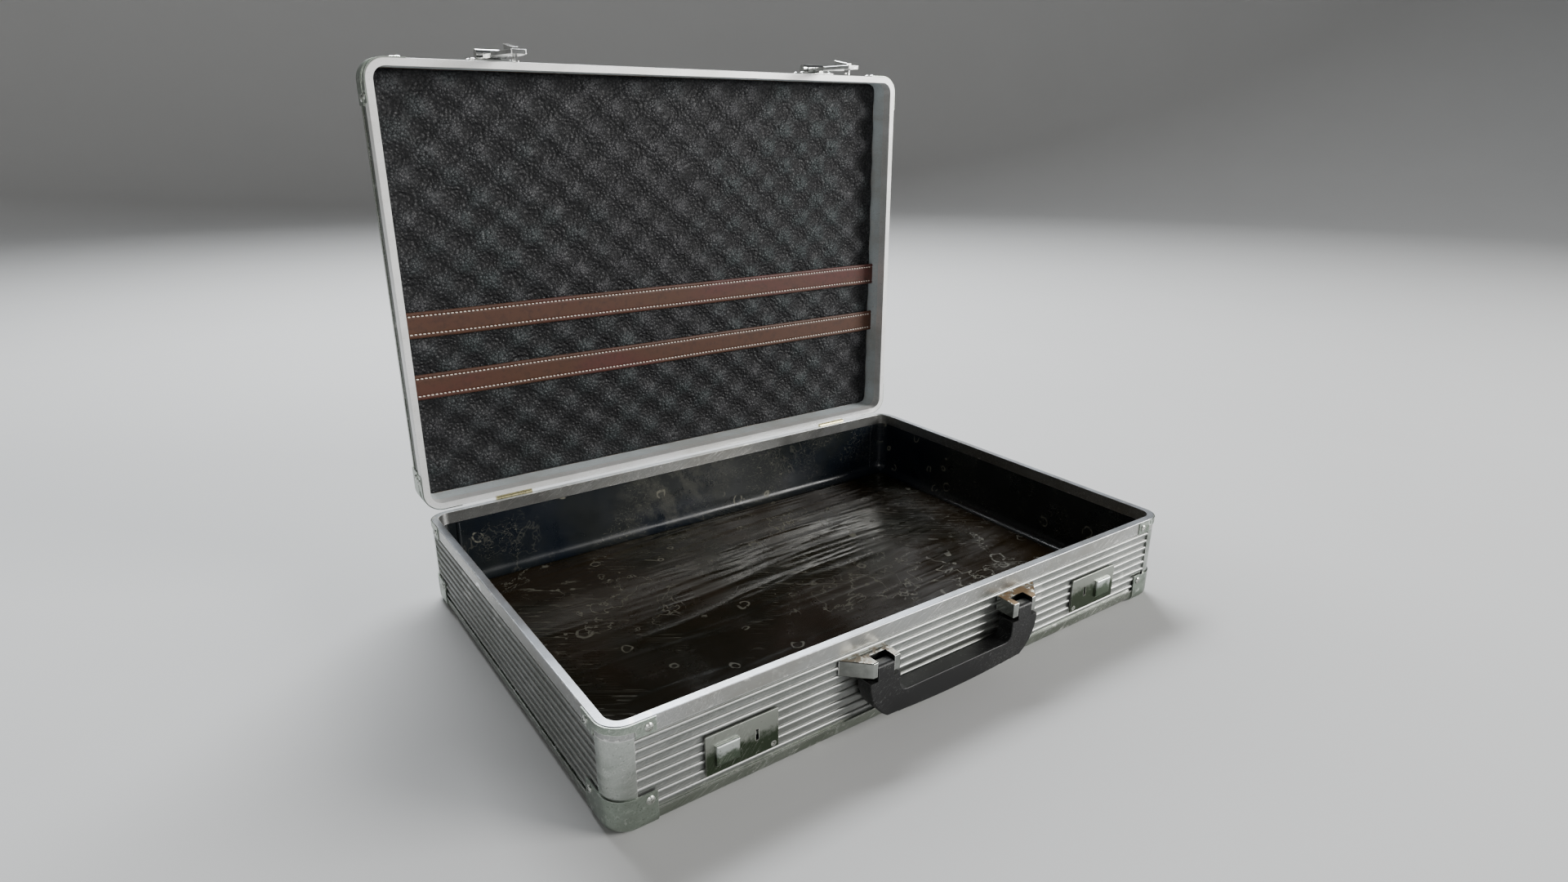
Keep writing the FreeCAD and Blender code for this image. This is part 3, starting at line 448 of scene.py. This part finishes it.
def hardboard(name):
    """Brown pressed fibre."""
    paint = Paint(name)
    fibres = paint.cloud(1.0, 4.0, 0.6, paint.stretched((300.0, 900.0, 900.0)))
    color = paint.mix(fibres, (0.10, 0.06, 0.035), (0.24, 0.16, 0.10))
    return paint.finish(color, paint.lerp(fibres, 0.7, 0.9), paint.bump(fibres, 0.05 * MM, 0.5))


def studio_floor(name):
    """Plain pale paint, very slightly uneven."""
    paint = Paint(name)
    mottle = paint.cloud(3.0, 4.0, 0.6)
    color = paint.mix(mottle, (0.50, 0.50, 0.495), (0.53, 0.53, 0.525))
    return paint.finish(color, 0.75)


# ---- mesh helpers --------------------------------------------------------------------------
def new_piece(name, bm, material, body, smooth_angle=40.0):
    """Turns a bmesh into a piece that rides on a body."""
    bmesh.ops.recalc_face_normals(bm, faces=bm.faces)
    mesh = bpy.data.meshes.new(name)
    bm.to_mesh(mesh)
    bm.free()
    mesh.shade_smooth()
    mesh.set_sharp_from_angle(angle=math.radians(smooth_angle))
    mesh.materials.append(material)
    piece = bpy.data.objects.new(name, mesh)
    bpy.context.scene.collection.objects.link(piece)
    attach(piece, body)
    return piece


def round_corner(x, y, half_x, half_y, radius):
    """Moves a point of a rectangle's grid so that the rectangle gets round corners."""
    flat_x, flat_y = half_x - radius, half_y - radius
    if abs(x) <= flat_x or abs(y) <= flat_y:
        return x, y
    a = (abs(x) - flat_x) / radius
    b = (abs(y) - flat_y) / radius
    new_x = flat_x + radius * a * math.sqrt(1 - b * b / 2)
    new_y = flat_y + radius * b * math.sqrt(1 - a * a / 2)
    return math.copysign(new_x, x), math.copysign(new_y, y)


def closed_pad(half_x, half_y, radius, step, top, bottom):
    """Closed slab with round corners. top and bottom give the height at (x, y, distance from the edge)."""
    bm = bmesh.new()
    count_x, count_y = round(2 * half_x / step), round(2 * half_y / step)

    def layer(height):
        rows = []
        for j in range(count_y + 1):
            row = []
            for i in range(count_x + 1):
                x = -half_x + 2 * half_x * i / count_x
                y = -half_y + 2 * half_y * j / count_y
                inside = min(half_x - abs(x), half_y - abs(y))
                x, y = round_corner(x, y, half_x, half_y, radius)
                row.append(bm.verts.new((x, y, height(x, y, inside))))
            rows.append(row)
        return rows

    upper, lower = layer(top), layer(bottom)
    for j in range(count_y):
        for i in range(count_x):
            bm.faces.new((upper[j][i], upper[j][i + 1], upper[j + 1][i + 1], upper[j + 1][i]))
            bm.faces.new((lower[j][i], lower[j + 1][i], lower[j + 1][i + 1], lower[j][i + 1]))
    for i in range(count_x):
        for j in (0, count_y):
            bm.faces.new((upper[j][i], upper[j][i + 1], lower[j][i + 1], lower[j][i]))
    for j in range(count_y):
        for i in (0, count_x):
            bm.faces.new((upper[j][i], upper[j + 1][i], lower[j + 1][i], lower[j][i]))
    return bm


def rounded_edge(inside, radius):
    """Quarter round: 0 at the edge, 1 from a radius inwards."""
    return math.sqrt(max(0.0, 1 - (1 - min(1.0, inside / radius)) ** 2))


def plan_loop(inset, step=3.0 * MM):
    """Points round the case's plan at an inset from its outer face, the same number for every inset."""
    radius = max(CORNER_RADIUS - inset, 0.8 * MM)
    half_x, half_y = HALF_X - inset, HALF_Y - inset
    per_x = round(2 * (HALF_X - CORNER_RADIUS) / step)
    per_y = round(2 * (HALF_Y - CORNER_RADIUS) / step)
    per_corner = 10
    flat_x, flat_y = half_x - radius, half_y - radius
    points = []
    sides = [((flat_x, -half_y), (-2 * flat_x, 0), per_x, (-flat_x, -flat_y), 270),
             ((-half_x, -flat_y), (0, 2 * flat_y), per_y, (-flat_x, flat_y), 180),
             ((-flat_x, half_y), (2 * flat_x, 0), per_x, (flat_x, flat_y), 90),
             ((half_x, flat_y), (0, -2 * flat_y), per_y, (flat_x, -flat_y), 0)]
    for start, run, count, centre, angle in sides:
        for i in range(count):
            points.append((start[0] + run[0] * i / count, start[1] + run[1] * i / count))
        for i in range(per_corner):
            turn = math.radians(angle - 90 * i / per_corner)
            points.append((centre[0] + radius * math.cos(turn), centre[1] + radius * math.sin(turn)))
    return points


# ---- soft pieces ---------------------------------------------------------------------------
def lining_profile():
    """Section of the lining's wall as inset, height and how far it may swell: down the wall,
    round the cove, out under the floor sheet and back up behind."""
    top = LEG_FOOT_Z - 0.2 * MM
    levels, arc = 18, 8
    profile = []
    for i in range(levels + 1):
        z = top + (LINING_FLOOR + COVE - top) * i / levels
        profile.append((LINING_INSET, z, math.sin(math.pi * i / levels)))
    for i in range(1, arc + 1):
        angle = math.radians(90 * i / arc)
        across, down = 1 - math.cos(angle), 1 - math.sin(angle)
        profile.append((LINING_INSET + COVE * across, LINING_FLOOR + COVE * down, 0.0))
    lip = LINING_INSET + COVE + 6.0 * MM
    behind = LINING_INSET - 0.7 * MM
    under = LINER_LOW.z + 0.1 * MM
    profile += [(lip, LINING_FLOOR, 0.0), (lip, under, 0.0), (behind, under, 0.0), (behind, top, 0.0)]
    return profile


def lining_walls(material):
    """Vinyl on the walls, slightly puckered, turned over a cove at the foot."""
    bm = bmesh.new()
    loops = []
    for inset, z, wave in lining_profile():
        loop = []
        for x, y in plan_loop(inset):
            swell = noise.noise(Vector((x * 9, y * 9, z * 45)))
            swell += 0.4 * noise.noise(Vector((x * 30, y * 30, z * 90)))
            push = 1 - wave * swell * 0.55 * MM / HALF_Y
            loop.append(bm.verts.new((x * push, y * push, z)))
        loops.append(loop)
    count = len(loops[0])
    for k, here in enumerate(loops):
        there = loops[(k + 1) % len(loops)]
        for i in range(count):
            j = (i + 1) % count
            bm.faces.new((here[i], here[j], there[j], there[i]))
    piece = new_piece("lining_walls", bm, material, "base")
    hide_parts("base_liner")


def wrinkle(x, y):
    """Height of the floor sheet's long creases, which gather towards the back right corner."""
    bend = noise.noise(Vector((x * 5, y * 4, 1.7))) * 0.5
    along, across = x * 4.5, y * 62 + bend - x * 5.0
    ridge = (1 - abs(noise.noise(Vector((along, across, 0.3))))) ** 5
    second = (1 - abs(noise.noise(Vector((along * 1.7 + 9, across * 1.8, 4.1))))) ** 6
    swell = noise.noise(Vector((x * 9, y * 18, 8.0)))
    gather = 0.30 + 0.70 * min(1.0, max(0.0, (x + 0.9 * y + 0.10) / 0.26))
    patch = max(0.0, 0.6 + noise.noise(Vector((x * 8, y * 9, 5.0))))
    return (1.5 * ridge + 1.0 * second) * gather * patch * MM + 0.3 * MM * swell


def lining_floor(material):
    """Floor sheet with a raised border, laid on the floor board inside the cove."""
    inset = LINING_INSET + COVE + 0.6 * MM
    half_x, half_y = HALF_X - inset, HALF_Y - inset
    border = 4.0 * MM
    lift = 0.9 * MM

    def top(x, y, inside):
        edge = min(1.0, inside / border)
        rolled = rounded_edge(inside, 1.2 * MM)
        seam = 0.55 * MM * math.exp(-((inside - 1.8 * MM) / (1.1 * MM)) ** 2)
        return LINING_FLOOR + lift * rolled + seam + wrinkle(x, y) * edge * edge

    def bottom(x, y, inside):
        return LINING_FLOOR + 0.02 * MM

    bm = closed_pad(half_x, half_y, 6.0 * MM, GRID_STEP, top, bottom)
    piece = new_piece("lining_floor", bm, material, "base", 60.0)


def lining_seams(material):
    """Lapped vertical seams near both ends of the back wall."""
    bm = bmesh.new()
    back = HALF_Y - LINING_INSET
    low, high = LINING_FLOOR + 6.0 * MM, LEG_FOOT_Z - 0.4 * MM
    rows, around = 20, 6
    for middle in (-SEAM_X, SEAM_X):
        previous = None
        for i in range(rows + 1):
            z = low + (high - low) * i / rows
            sway = noise.noise(Vector((middle * 50, 0, z * 60))) * 0.5 * MM
            ring = []
            for k in range(around + 1):
                angle = math.pi * k / around
                across = 1.6 * MM * math.cos(angle)
                rise = 0.75 * MM * math.sin(angle)
                ring.append(bm.verts.new((middle + sway + across, back - rise, z)))
            if previous:
                for k in range(around):
                    bm.faces.new((previous[k], previous[k + 1], ring[k + 1], ring[k]))
                bm.faces.new((previous[around], previous[0], ring[0], ring[around]))
            else:
                bm.faces.new(ring)
            previous = ring
        bm.faces.new(list(reversed(previous)))
    new_piece("lining_seams", bm, material, "base")


def foam_pad(material):
    """Convoluted pad: staggered rows of pointed bumps, rolled down at the edge."""
    half_x = FOAM_HIGH.x
    half_z = (FOAM_HIGH.z - FOAM_LOW.z) / 2
    middle_z = (FOAM_HIGH.z + FOAM_LOW.z) / 2
    pitch_x, pitch_z = 36.5 * MM, 31.0 * MM
    first_x, first_z = 9.0 * MM, 2.0 * MM - middle_z
    relief = 3.7 * MM
    thickness = FOAM_HIGH.y - FOAM_LOW.y

    def top(x, z, inside):
        turn_x = 2 * math.pi * (x - first_x) / pitch_x
        turn_z = 2 * math.pi * (z - first_z) / pitch_z
        cosines = math.cos(turn_x) * math.cos(turn_z)
        bumps = 0.86 * (0.5 + 0.5 * cosines) ** 1.15 + 0.14 * max(0.0, cosines) ** 14
        lumps = 0.3 * noise.noise(Vector((x * 45, z * 45, 2.0)))
        lumps += 0.25 * noise.noise(Vector((x * 15, z * 15, 6.0)))
        roll = rounded_edge(inside, 3.0 * MM)
        height = thickness - relief + relief * min(1.0, max(0.0, bumps + lumps * 0.35))
        return max(0.2 * MM, height * (0.35 + 0.65 * roll))

    def bottom(x, z, inside):
        return 0.0

    bm = closed_pad(half_x, half_z, 5.0 * MM, GRID_STEP, top, bottom)
    upright = Matrix(((1, 0, 0, 0), (0, 0, -1, FOAM_HIGH.y), (0, 1, 0, middle_z), (0, 0, 0, 1)))
    bmesh.ops.transform(bm, matrix=upright, verts=bm.verts)
    piece = new_piece("foam_pad", bm, material, "lid", 80.0)
    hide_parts("lid_foam")


def strap_section(width, thickness):
    """Outline of a strap across its width: flat back, rolled edges, a raised hem
    and a groove along each row of stitches."""
    half = width / 2
    hem, step = half - HEM_WIDTH, 0.22 * MM
    groove, groove_half, depth = half - STITCH_INSET, 0.75 * MM, 0.3 * MM
    edge = []
    for angle in (-40, -10, 20, 50, 80):
        turn = math.radians(angle)
        edge.append((half - STRAP_EDGE * (1 - math.cos(turn)), 0.72 * MM + 0.62 * MM * math.sin(turn)))
    stations = [half - 1.2 * MM, hem + 0.15 * MM, hem - 0.15 * MM, groove + 0.3 * MM, groove - 0.3 * MM,
                groove - groove_half, groove - 2.0 * MM, 0.0]
    face = []
    for across in stations + [-station for station in reversed(stations[:-1])]:
        height = thickness if abs(across) > hem else thickness - step
        if abs(abs(across) - groove) < 0.5 * groove_half:
            height -= depth
        face.append((across, height))
    back = [(-half + 0.3 * MM, 0.0), (half - 0.3 * MM, 0.0)]
    other_edge = [(-across, height) for across, height in reversed(edge)]
    return back + edge + face + other_edge


def strap_sway(x, middle_z):
    """How far a strap and its stitches wander up or down at x."""
    return 0.35 * MM * noise.noise(Vector((x * 14, middle_z * 30, 0.0)))


def strap(node, leather, thread_material):
    """One leather strap with two rows of stitches."""
    low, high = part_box(node)
    width, thickness = high.z - low.z, high.y - low.y
    middle_z = (low.z + high.z) / 2
    outline = strap_section(width, thickness)
    bm = bmesh.new()
    lengths = 110
    previous = None
    for i in range(lengths + 1):
        x = low.x + (high.x - low.x) * i / lengths
        sway = strap_sway(x, middle_z)
        ring = [bm.verts.new((x, high.y - rise, middle_z + across + sway)) for across, rise in outline]
        if previous:
            for k in range(len(ring)):
                j = (k + 1) % len(ring)
                bm.faces.new((previous[k], previous[j], ring[j], ring[k]))
        else:
            bm.faces.new(ring)
        previous = ring
    bm.faces.new(list(reversed(previous)))
    piece = new_piece(node + "_leather", bm, leather, "lid", 55.0)
    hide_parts(node)
    stitches(node, low, high, middle_z, width, thread_material)


def stitches(node, low, high, middle_z, width, material):
    """Two rows of short thread stitches sunk in the strap's grooves."""
    pitch, half_length, radius = 3.1 * MM, 1.1 * MM, 0.5 * MM
    row = width / 2 - STITCH_INSET
    count = int((high.x - low.x - 4 * MM) / pitch)
    rng = random.Random(sum(map(ord, node)))
    bm = bmesh.new()
    for side in (-1, 1):
        for i in range(count):
            x = low.x + 3 * MM + pitch * i
            sway = strap_sway(x, middle_z)
            tilt = Matrix.Rotation(math.radians(rng.uniform(2, 9)), 4, "Y")
            place = Matrix.Translation((x, low.y + 0.1 * MM, middle_z + side * row + sway)) @ tilt
            size = Matrix.Diagonal((half_length * rng.uniform(0.9, 1.05), radius, radius * 0.95, 1.0))
            bmesh.ops.create_uvsphere(bm, u_segments=8, v_segments=6, radius=1.0, matrix=place @ size)
    new_piece(node + "_stitches", bm, material, "lid", 80.0)


# ---- assembly ------------------------------------------------------------------------------
def paint_nodes(material, *names):
    """Gives CAD nodes one material."""
    for name in names:
        node = NODES[name]
        node.data.materials.clear()
        node.data.materials.append(material)


def both(name):
    """The left and the right node of a pair."""
    return [name + "_left", name + "_right"]


def press_springs():
    """Gives each small spring a mesh of its own."""
    for side, sign in (("left", -1), ("right", 1)):
        spring = bpy.data.objects["lock_spring_" + side]
        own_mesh(spring)


def dress_trays():
    """The sheets, posts, rims, trim, caps and boards of base and lid."""
    # The ribbed sheets get painted shade under each rib and a painted highlight on its top.
    rib_wear_and_shade = dict(grain=SHEET_GRAIN, grime_amount=0.5, scuff=0.3, ring_share=0.1, nicks=0.0, rib_shade_and_light=0.9)
    sheet = worn_metal("ribbed_sheet", (0.33, 0.34, 0.33), (0.15, 0.16, 0.14), 0.44, **rib_wear_and_shade)
    # Side panels: a darker copy of the sheet metal, as painted shade.
    shaded_flank = worn_metal("flank_sheet_painted_shade", (0.25, 0.26, 0.25), (0.11, 0.12, 0.10), 0.44, **rib_wear_and_shade)
    post = worn_metal("post_metal", (0.50, 0.53, 0.495), (0.10, 0.125, 0.09), 0.30,
                      grime_amount=0.8, scuff=0.6, ring_scale=40.0, mottle=0.3)
    edge = worn_metal("edge_metal", (0.27, 0.295, 0.255), (0.10, 0.12, 0.085), 0.34,
                      grain=TRIM_GRAIN, grime_amount=0.7, scuff=0.8, edge_tone=(0.92, 0.92, 0.88),
                      edge_radius=0.8 * MM, ring_scale=40.0, nicks=0.9, mottle=0.35)
    cap = worn_metal("cap_metal", (0.34, 0.385, 0.335), (0.07, 0.10, 0.065), 0.34,
                     grime_amount=0.8, scuff=0.9, edge_tone=(0.72, 0.76, 0.70), edge_radius=0.8 * MM,
                     ring_scale=62.0, ring_share=0.5, nicks=0.9, mottle=0.55)
    board = hardboard("board_fibre")
    for tray in ("base", "lid"):
        paint_nodes(sheet, tray + "_front_panel", tray + "_back_panel")
        paint_nodes(shaded_flank, tray + "_left_panel", tray + "_right_panel")
        paint_nodes(post, tray + "_corner_posts")
        paint_nodes(edge, tray + "_edge_trim")
        paint_nodes(cap, tray + "_corner_caps", tray + "_rim_clips")
        paint_nodes(board, tray + "_wall_boards")
    paint_nodes(board, "base_floor_board", "lid_backing_board")
    paint_nodes(sheet, "lid_top_panel")
    bottom = worn_metal("bottom_metal", (0.46, 0.48, 0.46), (0.22, 0.23, 0.20), 0.44, scuff=0.6)
    paint_nodes(bottom, "base_bottom_panel")
    dress_rims()


def dress_rims():
    """The two rims and the bare band inside the lid; the lid's rim and the band are lightened as painted
    light, and the base rim has painted shade on faces that don't look up.
    """
    # Base rim: sides gives painted shade to its faces that don't look up.
    rim = worn_metal("rim_metal", (0.66, 0.70, 0.75), (0.27, 0.255, 0.21), 0.36,
                     grain=RIM_GRAIN, grime_amount=0.5, scuff=0.8, edge_tone=(0.95, 0.94, 0.91),
                     edge_radius=0.8 * MM, ring_scale=34.0, ring_share=0.35, nicks=1.0, mottle=0.2,
                     sides=0.6)
    # Lid rim: near white and barely metallic, a painted light copy of the rim metal.
    lid_rim = worn_metal("lid_rim_metal_painted_light", (0.96, 0.96, 0.95), (0.50, 0.48, 0.40), 0.40,
                         grain=RIM_GRAIN, grime_amount=0.35, scuff=0.5, edge_tone=(0.97, 0.97, 0.96),
                         edge_radius=0.8 * MM, ring_scale=30.0, ring_share=0.3, lift=0.1, nicks=0.6,
                         metallic=0.35)
    # Band: lightened and barely metallic, as painted light on a band that lies in shade.
    band = worn_metal("band_metal_painted_light", (0.78, 0.85, 0.87), (0.46, 0.42, 0.34), 0.55,
                      grain=RIM_GRAIN, grime_amount=0.5, scuff=0.3, metallic=0.15)
    paint_nodes(rim, "base_rim_frame")
    paint_nodes(lid_rim, "lid_rim_frame")
    paint_nodes(band, "lid_wall_band")


def dress_hardware():
    """Screws, pins, hinges, handle, its brackets and the hasps."""
    screw = worn_metal("screw_metal", (0.58, 0.60, 0.56), (0.20, 0.20, 0.16), 0.28,
                       edge_radius=0.3 * MM, scuff=0.2)
    paint_nodes(screw, "base_corner_screws", "lid_corner_screws", "handle_pins", "bracket_screws")
    paint_nodes(screw, "lock_screws", *both("hasp_pin"))
    brass = worn_metal("hinge_brass", (0.72, 0.66, 0.36), (0.34, 0.28, 0.14), 0.28, scuff=0.2,
                       edge_tone=(0.95, 0.92, 0.74), edge_radius=0.3 * MM, grime_amount=0.3)
    paint_nodes(brass, "hinge_base_leaves", "hinge_lid_leaves", "hinge_pins")
    paint_nodes(brass, "hinge_base_rivets", "hinge_lid_rivets")
    paint_nodes(moulded_plastic("grip_plastic"), "handle_grip")
    for side, rust_amount in (("left", 0.45), ("right", 1.0)):
        bracket = chrome("bracket_chrome_" + side, rust_amount, (0.30, 0.31, 0.29))
        paint_nodes(bracket, "handle_bracket_" + side)
    hasp = chrome("hasp_chrome", 0.0, (0.78, 0.79, 0.77))
    paint_nodes(hasp, "hasp_rivets", *both("hasp_base"), *both("hasp"))


def dress_locks():
    """Lock plates and buttons with a painted reflection, darker and greenish below their middle, and the
    works behind them.
    """
    middle = (PLATE_LOW.z + PLATE_HIGH.z) / 2
    plate = plate_with_painted_reflection("plate_steel_painted_reflection", (0.36, 0.38, 0.34), (0.06, 0.08, 0.05),
                          level=middle + 2.0 * MM, spread=3.5 * MM)
    button = plate_with_painted_reflection("button_steel_painted_reflection", (0.70, 0.75, 0.72), (0.12, 0.155, 0.11),
                           level=middle - 0.5 * MM, spread=3.0 * MM)
    inside = worn_metal("inside_metal", (0.24, 0.25, 0.24), (0.10, 0.10, 0.08), 0.4, scuff=0.2)
    paint_nodes(plate, *both("lock_plate"))
    paint_nodes(button, *both("lock_button"))
    paint_nodes(inside, *both("lock_case"), *both("lock_spring"))
    press_springs()


def soft_parts():
    """Everything that isn't rigid: the lining, the foam pad and the straps."""
    # Where the smear of dust and painted sheen is centred.
    dust_and_sheen_place = (-20 * MM, HALF_Y, 40 * MM)
    wall = vinyl("lining_wall_vinyl", (0.005, 0.008, 0.013), (0.010, 0.012, 0.012), gloss=0.24,
                 ring_share=0.20, tide=0.2, dust_and_sheen_place=dust_and_sheen_place, dust_and_sheen_reach=0.08)
    floor = vinyl("lining_floor_vinyl", (0.0065, 0.0060, 0.0012), (0.017, 0.0105, 0.0040), gloss=0.17,
                  ring_share=0.24, tide=1.0, dust_and_sheen_place=dust_and_sheen_place, dust_and_sheen_reach=0.12)
    lining_walls(wall)
    lining_floor(floor)
    lining_seams(wall)
    foam_pad(pebbled_foam("foam_skin"))
    leather = strap_leather("strap_brown")
    linen = thread("stitch_thread")
    for node in ("strap_lower", "strap_upper"):
        strap(node, leather, linen)


# ---- stage, light and camera ---------------------------------------------------------------
def make_stage():
    """Pale round floor that sweeps up into a wall on every side."""
    bm = bmesh.new()
    flat, radius, height = 3.4, 1.6, 4.0
    steps, arc = 96, 12
    section = [(0.6, 0.0), (flat, 0.0)]
    for i in range(1, arc + 1):
        angle = math.radians(90 * i / arc)
        section.append((flat + radius * math.sin(angle), radius * (1 - math.cos(angle))))
    section.append((flat + radius, height))
    loops = []
    turns = [2 * math.pi * i / steps for i in range(steps)]
    for reach, z in section:
        loops.append([bm.verts.new((reach * math.cos(turn), reach * math.sin(turn), z)) for turn in turns])
    bm.faces.new(loops[0])
    for inner, outer in zip(loops, loops[1:]):
        for i in range(steps):
            j = (i + 1) % steps
            bm.faces.new((inner[i], outer[i], outer[j], inner[j]))
    mesh = bpy.data.meshes.new("studio_floor")
    bm.to_mesh(mesh)
    bm.free()
    mesh.shade_smooth()
    mesh.materials.append(studio_floor("studio_floor_paint"))
    floor = bpy.data.objects.new("studio_floor", mesh)
    bpy.context.scene.collection.objects.link(floor)


def add_light(name, place, target, size, power, color):
    """Soft rectangular light that looks at a point."""
    light = bpy.data.lights.new(name, "AREA")
    light.shape = "RECTANGLE"
    light.size, light.size_y = size
    light.energy = power
    light.color = color
    lamp = bpy.data.objects.new(name, light)
    lamp.location = place
    lamp.rotation_euler = (Vector(target) - Vector(place)).to_track_quat("-Z", "Y").to_euler()
    bpy.context.scene.collection.objects.link(lamp)


def make_lights():
    """Large key from the right, light from behind for the lining's sheen, and a weak fill."""
    target = (0.0, 0.0, 0.12)
    add_light("key", (1.9, -1.9, 1.15), target, (1.3, 1.1), 95.0, (1.0, 0.99, 0.97))
    add_light("back", (0.4, 1.5, 1.9), target, (1.8, 0.9), 125.0, (0.94, 0.97, 1.0))
    add_light("front", (-0.6, -2.2, 0.7), target, (0.8, 0.8), 9.0, (1.0, 0.99, 0.97))
    world = bpy.data.worlds.new("studio")
    world.use_nodes = True
    world.node_tree.nodes["Background"].inputs["Color"].default_value = (0.82, 0.84, 0.87, 1.0)
    world.node_tree.nodes["Background"].inputs["Strength"].default_value = 0.12
    bpy.context.scene.world = world


def make_camera():
    """Camera where the picture was taken from: left of and above the case's front corner."""
    camera = bpy.data.cameras.new("camera")
    camera.sensor_width = 36.0
    camera.lens = 20.70
    camera.clip_start = 0.02
    eye = bpy.data.objects.new("camera", camera)
    yaw, pitch = math.radians(35.13), math.radians(-19.17)
    eye.location = (-0.3682, -0.5092, 0.3444)
    eye.rotation_euler = (math.radians(90) + pitch, 0.0, -yaw)
    bpy.context.scene.collection.objects.link(eye)
    bpy.context.scene.camera = eye


dress_trays()
dress_hardware()
dress_locks()
soft_parts()
make_stage()
make_lights()
make_camera()
